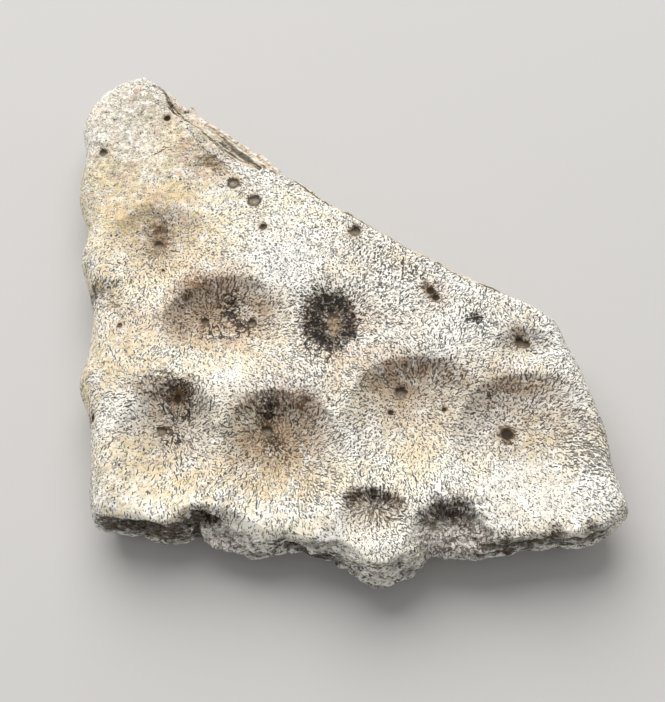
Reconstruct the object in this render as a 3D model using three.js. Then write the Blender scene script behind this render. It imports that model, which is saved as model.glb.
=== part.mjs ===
// A piece of sculptured dermal bone (a scute) of a large fossil amphibian, lying on its smooth underside.
// One solid. Millimetres, +Z up, the origin on the resting face under the middle of the outline's box.
//
// The upper face is a height over the plan: a low crown, less a bowl for each pit, turned down to the
// widest line at the edge. The wall carries on from that line and curls in under to the flat base.
import * as THREE from "three";

// ---------- Driving dimensions ----------

const THICKNESS = 10.2; // resting face to the crest of the sculptured face
const CROWN_FALL = 0.9; // how much lower the sculptured face lies at CROWN_REACH from its crest
const CROWN_REACH = 35; // plan distance over which the crown falls by CROWN_FALL
const CROWN_CREST = [-3, 3]; // plan position of the crest
const EDGE_INSET = 0.8; // the grid of the upper face stops this far inside the outline
const GRID_CELLS = 48; // cells along each side of the upper face's grid
const NORMAL_REACH = 5; // stations on each side over which the outline's direction is averaged

// How the plate ends, at places round the outline: 0 is the front left corner, 1 the front right, 2 the
// back right and 3 the tip. After the place, each row gives the width of the rounded shoulder, the height
// of the widest line, how far the wall draws in under it, how far the face droops at the edge and the
// roundness of the shoulder: 2 is a quarter round, and near 1 it is almost a chamfer.
const EDGE_PLACES = [
  [0, 1.6, 4.5, 2.8, 1, 2],
  [0.05, 0.9, 4.5, 3, 1.2, 2], // front, broken right through
  [0.12, 1, 4.5, 3, 1.3, 1.8],
  [0.16, 1.6, 4.5, 3, 1, 1.5],
  [0.19, 2.4, 4.5, 3, 0.8, 1.3], // the worn slope below the front hole
  [0.24, 3, 4.5, 3, 0.8, 1.2],
  [0.3, 2.5, 4.5, 3, 1.2, 1.3],
  [0.345, 1.6, 4.6, 3, 1.6, 1.6],
  [0.37, 0.8, 4.8, 3, 2, 2],
  [0.42, 0.9, 4.8, 3, 2, 2],
  [0.46, 1.4, 4.5, 3, 1.3, 1.5],
  [0.5, 1.3, 4.9, 3, 0.7, 1.6], // the lump that stands out at the front
  [0.545, 1.3, 4.9, 3, 0.5, 1.6],
  [0.6, 1.4, 4.9, 3, 0.7, 1.6],
  [0.64, 1, 5.4, 3, 0.5, 1.6], // the front break steps back below a thin lip
  [0.72, 0.8, 5.6, 3, 1, 1.8],
  [0.8, 0.7, 5.6, 3, 1, 2],
  [0.9, 0.7, 5.6, 3, 0.6, 2],
  [0.97, 0.9, 5.6, 3, 0.6, 2],
  [1.1, 2.2, 5.2, 2.4, 0.3, 2], // right, a natural margin
  [1.85, 2.4, 5.4, 2.4, 0, 2],
  [2.05, 1.2, 7.4, 2.4, 0, 2], // back, broken along its layers
  [2.95, 1.4, 6.9, 2.4, 0, 2],
  [3.08, 3, 5.4, 2.6, 0.2, 2], // left, a natural margin
  [3.92, 3, 5.2, 2.6, 0.4, 2],
  [4, 1.6, 4.5, 2.8, 1, 2],
];
const DROOP_REACH = 5; // the droop starts this far inside the edge
const UNDERCUT_POWER = 1.5; // the wall draws in by this power of its way down to the base
const BOWL_POWER = 1.25; // a pit's depth falls off as (1 - s^2) to this power, so that its rim is smooth
const SHOULDER_STEP = 0.25; // the wall's first ring lies at this share of the inset from the outline
const UNDERCUT_STEP = 0.5; // the wall's ring below the widest line lies this share of the way down

// ---------- Plan outline, as four sides between four corners ----------

const FRONT_LEFT = [-28.7, -21.6];
const FRONT_RIGHT = [29.5, -21.8];
const BACK_RIGHT = [22.6, 2.7];
const TIP = [-25.1, 35.9];

// The front is a ragged break with two notches and one lump.
const FRONT_SIDE = [
  FRONT_LEFT,
  [-27.7, -22.1],
  [-25.6, -22.4],
  [-23.5, -22.7],
  [-21.4, -23.4],
  [-19.3, -23.4],
  [-17.4, -22.8],
  [-16.1, -23.6],
  [-13, -24.7],
  [-10.9, -25.3],
  [-9.2, -25.1],
  [-6.9, -24.3],
  [-4.5, -25.3],
  [-2.2, -26.1],
  [-1, -26.8],
  [0.6, -28.1],
  [2.9, -28.6],
  [4.7, -28.1],
  [7, -27],
  [7.8, -25.6],
  [9.4, -25.3],
  [12.9, -25.6],
  [15.2, -25.4],
  [17.6, -25.1],
  [19.9, -24.6],
  [22.3, -24.3],
  [24.6, -24.3],
  [26.9, -23.7],
  [28.5, -22.6],
  FRONT_RIGHT,
];
const RIGHT_SIDE = [
  FRONT_RIGHT,
  [30.3, -20.6],
  [30.2, -19.2],
  [29.2, -16.1],
  [28.6, -12.3],
  [27.7, -8.6],
  [25.8, -2.9],
  [23.7, 1.6],
  BACK_RIGHT,
];
// The back is a long break, with a ledge of the deeper layers along its upper half.
const BACK_SIDE = [
  TIP,
  [-23.9, 35],
  [-22.6, 34.1],
  [-21.4, 33.1],
  [-20.5, 32],
  [-19.9, 31.4],
  [-19.4, 31.9],
  [-18.7, 31.1],
  [-18, 30.4],
  [-16.2, 29.3],
  [-14.5, 27.9],
  [-12.3, 26],
  [-10.2, 24.4],
  [-8.7, 23],
  [-8, 21.6],
  [-6.2, 20.6],
  [-3, 18.2],
  [0, 16.1],
  [4.4, 13.1],
  [9.7, 10],
  [14, 7.3],
  [18.2, 5.2],
  [21.3, 3.6],
  BACK_RIGHT,
];
// The left side is wavy: it bulges at the end of each ridge and draws in at each pit.
const LEFT_SIDE = [
  FRONT_LEFT,
  [-29.3, -19.4],
  [-29.5, -13.9],
  [-29.9, -8.9],
  [-31.1, -5],
  [-30.4, -1.5],
  [-30.1, 4],
  [-31, 8.4],
  [-31.8, 11.5],
  [-31.2, 14.9],
  [-32.4, 19.8],
  [-31.9, 26],
  [-32.4, 29.8],
  [-31.1, 33],
  [-28.6, 35.3],
  TIP,
];

// ---------- Pits ----------

// Each pit is an ellipse in plan. Its deepest point leans from the centre by a share of the radii, so
// that one wall is steep and the opposite one is a long slope.
const PITS = [
  { at: [-17, 23], radii: [5, 3.8], depth: 0.5, lean: [0, 0.2] }, // tip
  { at: [-22.2, 9.9], radii: [6.6, 7.2], depth: 1.5, lean: [0.05, 0.4] }, // upper left
  { at: [-29.4, 4.8], radii: [4.2, 2.9], depth: 1.5, lean: [-0.1, 0.35] }, // left notch
  { at: [-14.2, 0.35], radii: [7.7, 6.8], depth: 2.9, lean: [-0.32, 0.42] }, // middle left
  { at: [-2.6, 1], radii: [5.4, 6.2], depth: 1.1, lean: [0, 0.15] }, // stained
  { at: [19.3, -1.9], radii: [3.4, 2.6], depth: 1.4, lean: [-0.1, 0.35] }, // small right
  { at: [-20.3, -15], radii: [6.8, 8.8], depth: 2.7, lean: [0.15, 0.5] }, // lower left
  { at: [-8.2, -16.5], radii: [8, 9.1], depth: 3.4, lean: [0, 0.5] }, // lower middle
  { at: [7.4, -12.3], radii: [9.2, 9.3], depth: 2.8, lean: [-0.12, 0.55] }, // lower right
  { at: [19.6, -15.2], radii: [9.6, 10.2], depth: 2.4, lean: [-0.32, 0.52] }, // far right
  { at: [2.2, -22.8], radii: [4, 3.6], depth: 1.7, lean: [0, 0.6] }, // small front
  { at: [10.4, -25.4], radii: [5.2, 4.8], depth: 2.2, lean: [0, 0.55] }, // open front
  { at: [-16.2, -24.2], radii: [4.6, 3.4], depth: 2.2, lean: [0, 0.3] }, // front hole
  { at: [-31, -9.8], radii: [2.4, 1.7], depth: 0.9, lean: [0, 0.2] }, // small left notch
];

// ---------- Outline ----------

const lerp = THREE.MathUtils.lerp;
const smooth = THREE.MathUtils.smoothstep;

// Evenly spaced plan points along one side, both ends included.
function sideStations(points) {
  const curve = new THREE.SplineCurve(points.map(([x, y]) => new THREE.Vector2(x, y)));
  return curve.getSpacedPoints(GRID_CELLS);
}

// The edge values at a place round the outline, eased from one listed place to the next.
function edgeAt(place) {
  const after = EDGE_PLACES.findIndex((row) => row[0] > place);
  const [from, to] = [EDGE_PLACES[after - 1], EDGE_PLACES[after]];
  const t = smooth(place, from[0], to[0]);
  const [, shoulder, widest, drawIn, droop, roundness] = from.map((value, k) => lerp(value, to[k], t));
  return { shoulder, widest, drawIn, droop, roundness };
}

// The closed outline, counterclockwise from the front left corner, with the edge values at each station.
function closedOutline() {
  const sides = [
    sideStations(FRONT_SIDE),
    sideStations(RIGHT_SIDE),
    sideStations(BACK_SIDE).reverse(),
    sideStations(LEFT_SIDE).reverse(),
  ];
  const points = sides.flatMap((side) => side.slice(0, -1));
  return { points, edges: points.map((_, i) => edgeAt(i / GRID_CELLS)) };
}

// Unit vectors that point into the plate from each station, averaged along the outline so that
// they turn slowly round the corners.
function inwardNormals(points) {
  const count = points.length;
  return points.map((_, i) => {
    const ahead = points[(i + NORMAL_REACH) % count];
    const behind = points[(i - NORMAL_REACH + count) % count];
    return new THREE.Vector2(behind.y - ahead.y, ahead.x - behind.x).normalize();
  });
}

// The outline moved into the plate, by one distance or by a distance for each station.
function movedIn(outline, distanceAt) {
  return outline.points.map((p, i) => p.clone().addScaledVector(outline.normals[i], distanceAt(i)));
}

// The distance from a plan point to the outline, and the edge values at the nearest place on it.
function nearestEdge(x, y, outline) {
  const { points, edges } = outline;
  let best = { distance: Infinity };
  points.forEach((a, i) => {
    const next = (i + 1) % points.length;
    const b = points[next];
    const [dx, dy] = [b.x - a.x, b.y - a.y];
    const along = ((x - a.x) * dx + (y - a.y) * dy) / (dx * dx + dy * dy);
    const t = THREE.MathUtils.clamp(along, 0, 1);
    const distance = Math.hypot(x - a.x - t * dx, y - a.y - t * dy);
    if (distance < best.distance) best = { distance, t, from: edges[i], to: edges[next] };
  });
  const { from, to, t } = best;
  const between = (key) => lerp(from[key], to[key], t);
  return {
    distance: best.distance,
    shoulder: between("shoulder"),
    widest: between("widest"),
    droop: between("droop"),
    roundness: between("roundness"),
  };
}

// ---------- Upper face ----------

// The share of its full depth that a pit has at a plan point. With q the place and o the lean, both in
// units of the radii, s runs from 0 at the deepest point to 1 on the ellipse along every ray from o.
function pitShare(pit, x, y) {
  const [ox, oy] = pit.lean;
  const qx = (x - pit.at[0]) / pit.radii[0] - ox;
  const qy = (y - pit.at[1]) / pit.radii[1] - oy;
  const room = 1 - ox * ox - oy * oy;
  const across = qx * ox + qy * oy;
  const s = (across + Math.sqrt(across * across + room * (qx * qx + qy * qy))) / room;
  return s >= 1 ? 0 : (1 - s * s) ** BOWL_POWER;
}

// The sculptured face before its edge is turned down.
function sculptedHeight(x, y) {
  const [cx, cy] = CROWN_CREST;
  const fall = CROWN_FALL * (Math.hypot(x - cx, y - cy) / CROWN_REACH) ** 2;
  const bowls = PITS.reduce((sum, pit) => sum + pit.depth * pitShare(pit, x, y), 0);
  return THICKNESS - fall - bowls;
}

// The finished upper face. It droops a little near the edge, and within the shoulder's width it turns
// down to the widest line: with t the share of the shoulder, by (1 - (1 - t)^r)^(1/r) for roundness r.
function upperHeight(x, y, outline) {
  const edge = nearestEdge(x, y, outline);
  const droop = edge.droop * Math.max(1 - edge.distance / DROOP_REACH, 0) ** 2;
  const high = sculptedHeight(x, y) - droop;
  const t = Math.min(edge.distance / edge.shoulder, 1);
  const turn = (1 - (1 - t) ** edge.roundness) ** (1 / edge.roundness);
  return edge.widest + (high - edge.widest) * turn;
}

// ---------- The closed surface ----------

// A plan point of the upper grid, spanned between the four sides of the inset outline (a Coons patch).
function spannedPoint(i, j, sides) {
  const [u, v] = [i / GRID_CELLS, j / GRID_CELLS];
  const { front, right, back, left } = sides;
  const last = GRID_CELLS;
  const ruled = (key) =>
    lerp(front[i][key], back[i][key], v) +
    lerp(left[j][key], right[j][key], u) -
    lerp(lerp(front[0][key], front[last][key], u), lerp(back[0][key], back[last][key], u), v);
  return [ruled("x"), ruled("y")];
}

// The inset outline cut back into its four sides: front and back run to the right, left and right back.
function asSides(loop) {
  const n = GRID_CELLS;
  const corner = [...loop, loop[0]];
  return {
    front: corner.slice(0, n + 1),
    right: corner.slice(n, 2 * n + 1),
    back: corner.slice(2 * n, 3 * n + 1).reverse(),
    left: corner.slice(3 * n, 4 * n + 1).reverse(),
  };
}

// The upper grid's vertex numbers round its rim, in the order of the outline's stations.
function rimVertices() {
  const n = GRID_CELLS;
  const at = (i, j) => j * (n + 1) + i;
  const steps = Array.from({ length: n }, (_, k) => k);
  return [
    ...steps.map((k) => at(k, 0)),
    ...steps.map((k) => at(n, k)),
    ...steps.map((k) => at(n - k, n)),
    ...steps.map((k) => at(0, n - k)),
  ];
}

// The wall's rings of vertices below the rim of the upper grid, from the shoulder down to the base.
function wallRings(outline) {
  const { points, edges } = outline;
  const shoulderRing = (inset) => {
    const ring = movedIn(outline, () => inset);
    return ring.map((p) => [p.x, p.y, upperHeight(p.x, p.y, outline)]);
  };
  // Below the widest line, down runs from 0 there to 1 at the base.
  const undercutRing = (down) => {
    const ring = movedIn(outline, (i) => edges[i].drawIn * down ** UNDERCUT_POWER);
    return ring.map((p, i) => [p.x, p.y, edges[i].widest * (1 - down)]);
  };
  const widestRing = points.map((p, i) => [p.x, p.y, edges[i].widest]);
  return [
    shoulderRing(EDGE_INSET * SHOULDER_STEP),
    widestRing,
    undercutRing(UNDERCUT_STEP),
    undercutRing(1),
  ];
}

// The upper face: a square grid of vertices bent to the inset outline and raised to its height.
function addUpperFace(surface, outline) {
  const rimSides = asSides(movedIn(outline, () => EDGE_INSET));
  for (let j = 0; j <= GRID_CELLS; j++) {
    for (let i = 0; i <= GRID_CELLS; i++) {
      const [x, y] = spannedPoint(i, j, rimSides);
      surface.vertices.push([x, y, upperHeight(x, y, outline)]);
    }
  }
  for (let j = 0; j < GRID_CELLS; j++) {
    for (let i = 0; i < GRID_CELLS; i++) {
      const near = j * (GRID_CELLS + 1) + i;
      const far = near + GRID_CELLS + 1;
      surface.triangles.push([near, near + 1, far + 1], [near, far + 1, far]);
    }
  }
}

// The wall: each ring is joined to the one above it. Returns the lowest ring's vertex numbers.
function addWall(surface, outline) {
  let above = rimVertices();
  for (const ring of wallRings(outline)) {
    const below = ring.map((_, i) => surface.vertices.length + i);
    surface.vertices.push(...ring);
    below.forEach((_, i) => {
      const next = (i + 1) % below.length;
      surface.triangles.push([above[i], below[i], below[next]], [above[i], below[next], above[next]]);
    });
    above = below;
  }
  return above;
}

// The flat base inside the lowest ring, facing down.
function addBase(surface, ring) {
  const plan = ring.map((v) => new THREE.Vector2(surface.vertices[v][0], surface.vertices[v][1]));
  for (const [a, b, c] of THREE.ShapeUtils.triangulateShape(plan, [])) {
    surface.triangles.push([ring[a], ring[c], ring[b]]);
  }
}

function scuteGeometry() {
  const outline = closedOutline();
  outline.normals = inwardNormals(outline.points);
  const surface = { vertices: [], triangles: [] };
  addUpperFace(surface, outline);
  addBase(surface, addWall(surface, outline));

  const geometry = new THREE.BufferGeometry();
  geometry.setAttribute("position", new THREE.Float32BufferAttribute(surface.vertices.flat(), 3));
  geometry.setIndex(surface.triangles.flat());
  geometry.computeVertexNormals();
  return geometry;
}

// ---------- The part ----------

const fossilBone = new THREE.MeshStandardMaterial({ color: 0xd2c9b6, roughness: 0.85, metalness: 0 });

const scute = new THREE.Mesh(scuteGeometry(), fossilBone);
scute.name = "scute";

// The outline is drawn about a point inside the plate; this puts its box's middle over the origin.
scute.geometry.computeBoundingBox();
const middle = scute.geometry.boundingBox.getCenter(new THREE.Vector3());
scute.position.set(-middle.x, -middle.y, 0);

const group = new THREE.Group();
group.add(scute);

export default group;
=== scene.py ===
# %% [markdown]
# # A pitted scute
#
# The object is one plate of fossil bone from the skin of a large amphibian. Its upper face is
# sculptured with round pits, its skin is full of fine blood-vessel pores, and two of its four
# sides are broken. The plate was modelled in CAD as one plain solid. Here it gets its real
# surface.
#
# We load the packed frame first, because every size and place below is worked out from it.

# %% Load the packed frame
import itertools
import math

import bpy
import numpy as np
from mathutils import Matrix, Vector


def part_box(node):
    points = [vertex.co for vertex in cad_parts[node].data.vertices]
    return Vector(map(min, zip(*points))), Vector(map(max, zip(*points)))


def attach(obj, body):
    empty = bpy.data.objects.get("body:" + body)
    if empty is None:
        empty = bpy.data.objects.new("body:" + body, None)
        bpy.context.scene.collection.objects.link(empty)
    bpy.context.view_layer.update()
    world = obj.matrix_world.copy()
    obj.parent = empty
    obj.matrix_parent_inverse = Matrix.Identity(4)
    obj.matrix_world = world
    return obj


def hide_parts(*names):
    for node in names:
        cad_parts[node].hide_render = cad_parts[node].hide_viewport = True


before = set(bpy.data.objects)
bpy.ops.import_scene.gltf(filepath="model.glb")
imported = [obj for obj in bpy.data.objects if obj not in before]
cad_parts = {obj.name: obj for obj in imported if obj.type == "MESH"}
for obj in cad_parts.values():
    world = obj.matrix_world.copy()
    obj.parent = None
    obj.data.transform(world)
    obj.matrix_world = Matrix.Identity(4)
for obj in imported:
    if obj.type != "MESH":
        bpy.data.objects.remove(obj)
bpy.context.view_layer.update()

MM = 0.001
node_low, node_high = (np.array(corner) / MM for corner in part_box("scute"))
print("CAD node, mm:", np.round(node_low, 2), np.round(node_high, 2))

# %% [markdown]
# ## The outline
#
# Seen from above, the plate has four sides between four corners. A drawn outline needs only the
# points that its shape needs, and a Catmull-Rom curve runs smoothly through all of them. We keep
# each side separate, because the two breaks and the two natural margins end differently.

# %% Outline points, in millimetres in the plan the plate was drafted in
FRONT_LEFT = (-28.7, -21.6)
FRONT_RIGHT = (29.5, -21.8)
BACK_RIGHT = (22.6, 2.7)
TIP = (-25.1, 35.9)

FRONT_SIDE = [
    FRONT_LEFT, (-27.7, -22.1), (-25.6, -22.4), (-23.5, -22.7), (-21.4, -23.4), (-19.3, -23.4),
    (-17.4, -22.8), (-16.1, -23.6), (-13.0, -24.7), (-10.9, -25.3), (-9.2, -25.1), (-6.9, -24.3),
    (-4.5, -25.3), (-2.2, -26.1), (-1.0, -26.8), (0.6, -28.1), (2.9, -28.6), (4.7, -28.1),
    (7.0, -27.0), (7.8, -25.6), (9.4, -25.3), (12.9, -25.6), (15.2, -25.4), (17.6, -25.1),
    (19.9, -24.6), (22.3, -24.3), (24.6, -24.3), (26.9, -23.7), (28.5, -22.6), FRONT_RIGHT,
]
RIGHT_SIDE = [
    FRONT_RIGHT, (30.3, -20.6), (30.2, -19.2), (29.2, -16.1), (28.6, -12.3), (27.7, -8.6),
    (25.8, -2.9), (23.7, 1.6), BACK_RIGHT,
]
BACK_SIDE = [
    TIP, (-23.9, 35.0), (-22.6, 34.1), (-21.4, 33.1), (-20.5, 32.0), (-19.9, 31.4), (-19.4, 31.9),
    (-18.7, 31.1), (-18.0, 30.4), (-16.2, 29.3), (-14.5, 27.9), (-12.3, 26.0), (-10.2, 24.4),
    (-8.7, 23.0), (-8.0, 21.6), (-6.2, 20.6), (-3.0, 18.2), (0.0, 16.1), (4.4, 13.1), (9.7, 10.0),
    (14.0, 7.3), (18.2, 5.2), (21.3, 3.6), BACK_RIGHT,
]
LEFT_SIDE = [
    FRONT_LEFT, (-29.3, -19.4), (-29.5, -13.9), (-29.9, -8.9), (-31.1, -5.0), (-30.4, -1.5),
    (-30.1, 4.0), (-31.0, 8.4), (-31.8, 11.5), (-31.2, 14.9), (-32.4, 19.8), (-31.9, 26.0),
    (-32.4, 29.8), (-31.1, 33.0), (-28.6, 35.3), TIP,
]
print("points drawn:", *map(len, (FRONT_SIDE, RIGHT_SIDE, BACK_SIDE, LEFT_SIDE)))

# %% Even stations round the outline
GRID = 224  # cells along each side of the upper face
RING = 4 * GRID  # stations round the outline
FINE_STEPS = 60  # curve samples for each drawn point, before they are spaced out evenly


def stations_along(points):
    """GRID + 1 even stations along a Catmull-Rom curve. Between b and c, with neighbours a and d,
    the curve is b + t(c - a)/2 + t^2(2a - 5b + 4c - d)/2 + t^3(3b - a - 3c + d)/2."""
    p = np.array(points)
    p = np.vstack([p[:1], p, p[-1:]])
    t = np.linspace(0, len(points) - 1, FINE_STEPS * len(points))
    span = np.minimum(t.astype(int), len(points) - 2)
    t = (t - span)[:, None]
    a, b, c, d = (p[span + k] for k in range(4))
    fine = b + t * (c - a) / 2 + t**2 * (2 * a - 5 * b + 4 * c - d) / 2
    fine = fine + t**3 * (3 * b - a - 3 * c + d) / 2
    run = np.concatenate([[0], np.cumsum(np.linalg.norm(np.diff(fine, axis=0), axis=1))])
    even = np.linspace(0, run[-1], GRID + 1)
    return np.column_stack([np.interp(even, run, fine[:, k]) for k in (0, 1)])


front, right, back, left = map(stations_along, (FRONT_SIDE, RIGHT_SIDE, BACK_SIDE, LEFT_SIDE))
outline = np.vstack([front[:-1], right[:-1], back[:0:-1], left[:0:-1]])
outline_middle = (outline.min(0) + outline.max(0)) / 2
plan_shift = np.append((node_low + node_high)[:2] / 2 - outline_middle, 0)
print("outline stations:", len(outline), "shift from plan to frame, mm:", np.round(plan_shift, 2))

# %% [markdown]
# ## Camera
#
# The camera looks down on the plate from the front, with a long lens, so that near and far pits
# keep almost the same scale. Its place is given in the same plan millimetres as the plate.

# %% Camera
CAMERA_AIM = np.array([-2.4, -1.0, 7.0])
CAMERA_DISTANCE = 260.0
CAMERA_ELEVATION = math.radians(63)
LENS_MM = 117.0


def in_scene(name, data):
    """A new object that holds the data and is linked to the scene."""
    made = bpy.data.objects.new(name, data)
    bpy.context.scene.collection.objects.link(made)
    return made


camera = in_scene("camera", bpy.data.cameras.new("camera"))
view_back = np.array([0, -math.cos(CAMERA_ELEVATION), math.sin(CAMERA_ELEVATION)])
camera.location = Vector((CAMERA_AIM + CAMERA_DISTANCE * view_back + plan_shift) * MM)
camera.rotation_euler = Vector(-view_back).to_track_quat("-Z", "Y").to_euler()
camera.data.lens = LENS_MM
camera.data.clip_start = 0.01
bpy.context.scene.camera = camera
print("camera at", np.round(camera.location, 4))

# %% [markdown]
# ## Easing and noise
#
# Natural surfaces need two tools: a soft step from 0 to 1, and noise that is the same in every
# run. Blender's texture noise can't be read from numpy, so we write gradient noise as whole-array
# arithmetic. Each lattice corner gets a hashed direction, so nothing random is left unseeded.

# %% Easing and hashing
def ease(t):
    """3t^2 - 2t^3 between 0 and 1, and flat outside."""
    t = np.clip(t, 0, 1)
    return t * t * (3 - 2 * t)


def hashed(cells, seed):
    """A repeatable 32-bit number for each whole-number cell: its coordinates times three primes,
    mixed by shifts and multiplications."""
    c = cells.astype(np.int64).astype(np.uint32)
    h = c[..., 0] * np.uint32(73856093) ^ c[..., 1] * np.uint32(19349663)
    h = h ^ c[..., 2] * np.uint32(83492791) ^ np.uint32(seed * 40503 + 977)
    h = (h ^ (h >> np.uint32(16))) * np.uint32(0x85EBCA6B)
    h = (h ^ (h >> np.uint32(13))) * np.uint32(0xC2B2AE35)
    return h ^ (h >> np.uint32(16))


def three_shares(h):
    """Three numbers from 0 to 1 for each hash, from ten bits each."""
    return np.stack([(h >> np.uint32(10 * k)) & np.uint32(1023) for k in range(3)], -1) / 1023.0


one_hash = hashed(np.zeros((1, 3)), 1)
print("three shares from one hash:", three_shares(one_hash).round(2))

# %% Noise
NOISE_GAIN = 1.6  # brings the blended sum to about -1 to 1


def noise(points, size, seed):
    """Gradient noise, about -1 to 1, with lumps `size` across. At each corner of the lattice cell
    a hashed direction is dotted with the offset; the eight dots are blended by 6t^5 - 15t^4 +
    10t^3."""
    p = points / size
    cell = np.floor(p)
    f = p - cell
    blend = f**3 * (f * (f * 6 - 15) + 10)
    total = np.zeros(len(points))
    for corner in itertools.product((0, 1), repeat=3):
        direction = 2 * three_shares(hashed(cell + corner, seed)) - 1
        weight = np.prod(np.where(corner, blend, 1 - blend), axis=-1)
        total += weight * ((f - corner) * direction).sum(-1)
    return NOISE_GAIN * total


def summed_noise(points, *layers):
    """Noises added up, each given as its height, its size and its seed."""
    return sum(height * noise(points, size, seed) for height, size, seed in layers)


def hole_distance(points, size, seed):
    """The distance to the nearest of a set of scattered points, one in each cell `size` across,
    as a share of `size`. Small values mark the insides of bubbles."""
    p = points / size
    cell = np.floor(p)
    nearest = np.full(len(points), np.inf)
    for corner in itertools.product((-1, 0, 1), repeat=3):
        spot = cell + corner + three_shares(hashed(cell + corner, seed))
        nearest = np.minimum(nearest, ((p - spot) ** 2).sum(-1))
    return np.sqrt(nearest)


def as_space(plan, height=0.0):
    """Plan points with a height, for noise."""
    return np.column_stack([plan, np.broadcast_to(height, len(plan))])


print("noise at each front station: mean", noise(as_space(front), 2.0, 1).mean().round(2))

# %% [markdown]
# ## How the plate ends
#
# On the real plate the left and right sides are natural margins, rounded and smooth. The front is
# broken through, and the back is broken along its layers, so a ledge of deeper layers stands out
# below the rim. One table gives the section at places round the outline, and we ease between
# them. A place counts the sides: 0 to 1 runs along the front, 1 to 2 up the right margin, 2 to 3
# back along the back break and 3 to 4 down the left margin.

# %% Edge sections: place, shoulder, widest line, draw-in, droop, roundness
EDGE_PLACES = np.array([
    (0.00, 1.6, 4.5, 2.8, 1.0, 2.0),  # front left corner
    (0.05, 0.9, 4.5, 3.0, 1.2, 2.0),
    (0.12, 1.0, 4.5, 3.0, 1.3, 1.8),
    (0.16, 1.6, 4.5, 3.0, 1.0, 1.5),
    (0.19, 2.4, 4.5, 3.0, 0.8, 1.3),  # the worn slope below the front hole
    (0.24, 3.0, 4.5, 3.0, 0.8, 1.2),
    (0.30, 2.5, 4.5, 3.0, 1.2, 1.3),
    (0.345, 1.6, 4.6, 3.0, 1.6, 1.6),
    (0.37, 0.8, 4.8, 3.0, 2.0, 2.0),
    (0.42, 0.9, 4.8, 3.0, 2.0, 2.0),
    (0.46, 1.4, 4.5, 3.0, 1.3, 1.5),
    (0.50, 1.3, 4.9, 3.0, 0.7, 1.6),  # the lump that stands out at the front
    (0.545, 1.3, 4.9, 3.0, 0.5, 1.6),
    (0.60, 1.4, 4.9, 3.0, 0.7, 1.6),
    (0.64, 1.0, 5.4, 3.0, 0.5, 1.6),  # the break steps back below a thin lip
    (0.72, 0.8, 5.6, 3.0, 1.0, 1.8),
    (0.80, 0.7, 5.6, 3.0, 1.0, 2.0),
    (0.90, 0.7, 5.6, 3.0, 0.6, 2.0),
    (0.97, 0.9, 5.6, 3.0, 0.6, 2.0),
    (1.10, 2.2, 5.2, 2.4, 0.3, 2.0),  # right margin
    (1.85, 2.4, 5.4, 2.4, 0.0, 2.0),
    (2.05, 1.2, 7.4, 2.4, 0.0, 2.0),  # back break
    (2.95, 1.4, 6.9, 2.4, 0.0, 2.0),
    (3.08, 3.0, 5.4, 2.6, 0.2, 2.0),  # left margin
    (3.92, 3.0, 5.2, 2.6, 0.4, 2.0),
    (4.00, 1.6, 4.5, 2.8, 1.0, 2.0),
])
print("edge sections:", len(EDGE_PLACES))

# %% How far the edge reaches, and the back ledge
DROOP_REACH = 5.0  # the droop starts this far inside the edge
UNDERCUT_POWER = 1.5  # the wall draws in by this power of its way down
# The back ledge: plan x of the rim, width of the ledge and how far it lies below the rim.
LEDGE = np.array([
    (-24.0, 0.0, 0.0), (-22.6, 0.7, 0.9), (-21.1, 1.2, 1.4), (-19.9, 2.0, 1.9), (-16.5, 2.5, 2.0),
    (-14.0, 2.9, 2.1), (-12.3, 3.2, 2.2), (-10.5, 3.2, 2.2), (-9.2, 2.8, 2.1), (-8.4, 1.6, 1.6),
    (-7.8, 0.5, 0.5), (-6.0, 0.8, 0.6), (-2.0, 1.0, 0.7), (2.0, 0.6, 0.4), (5.0, 0.6, 0.4),
    (8.0, 0.9, 0.7), (13.0, 0.9, 0.6), (16.0, 0.5, 0.3), (20.0, 0.3, 0.2), (22.0, 0.0, 0.0),
])
LEDGE_RISE = 0.3  # plan width of the riser between ledge and rim
LEDGE_FADE = 0.5  # a ledge narrower than this fades out
print("widest ledge, mm:", LEDGE[:, 1].max())


# %% Look up the edge at a place
def edge_section(place):
    """The table's five values at each place, eased from one listed place to the next."""
    after = np.searchsorted(EDGE_PLACES[:, 0], place, side="right").clip(1, len(EDGE_PLACES) - 1)
    low, high = EDGE_PLACES[after - 1], EDGE_PLACES[after]
    t = ease((place - low[:, 0]) / (high[:, 0] - low[:, 0]))[:, None]
    return (low + (high - low) * t)[:, 1:].T


def nearest_edge(plan):
    """Distance from each plan point to the outline, and the place of the nearest point on it.
    Each point is compared with every segment, at the foot of its perpendicular kept within the
    segment."""
    along = np.roll(outline, -1, axis=0) - outline
    length_squared = (along**2).sum(1)
    distance, place = np.empty(len(plan)), np.empty(len(plan))
    for part in np.array_split(np.arange(len(plan)), 1 + len(plan) // 1500):
        offset = plan[part][:, None] - outline
        t = np.clip((offset * along).sum(-1) / length_squared, 0, 1)
        gap = ((offset - t[..., None] * along) ** 2).sum(-1)
        best = gap.argmin(1)
        rows = np.arange(len(part))
        distance[part] = np.sqrt(gap[rows, best])
        place[part] = (best + t[rows, best]) / GRID
    return distance, place


def ledge_at(place):
    """Width and depth of the back ledge at each place; nothing elsewhere."""
    station_x = np.interp(place, np.arange(RING) / GRID, outline[:, 0])
    on_back = (place > 2) & (place < 3)
    return [np.where(on_back, np.interp(station_x, LEDGE[:, 0], LEDGE[:, k]), 0) for k in (1, 2)]


print("from the plan's centre to the edge, mm:", nearest_edge(np.zeros((1, 2)))[0].round(1))

# %% [markdown]
# ## Pits
#
# The pits of such a scute are shallow bowls, each steeper towards the animal's front than behind.
# A bowl is a function on an ellipse whose deepest point leans off centre. It is cheaper and truer
# than sculpting by hand, and the same formula made the CAD solid.

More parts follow.
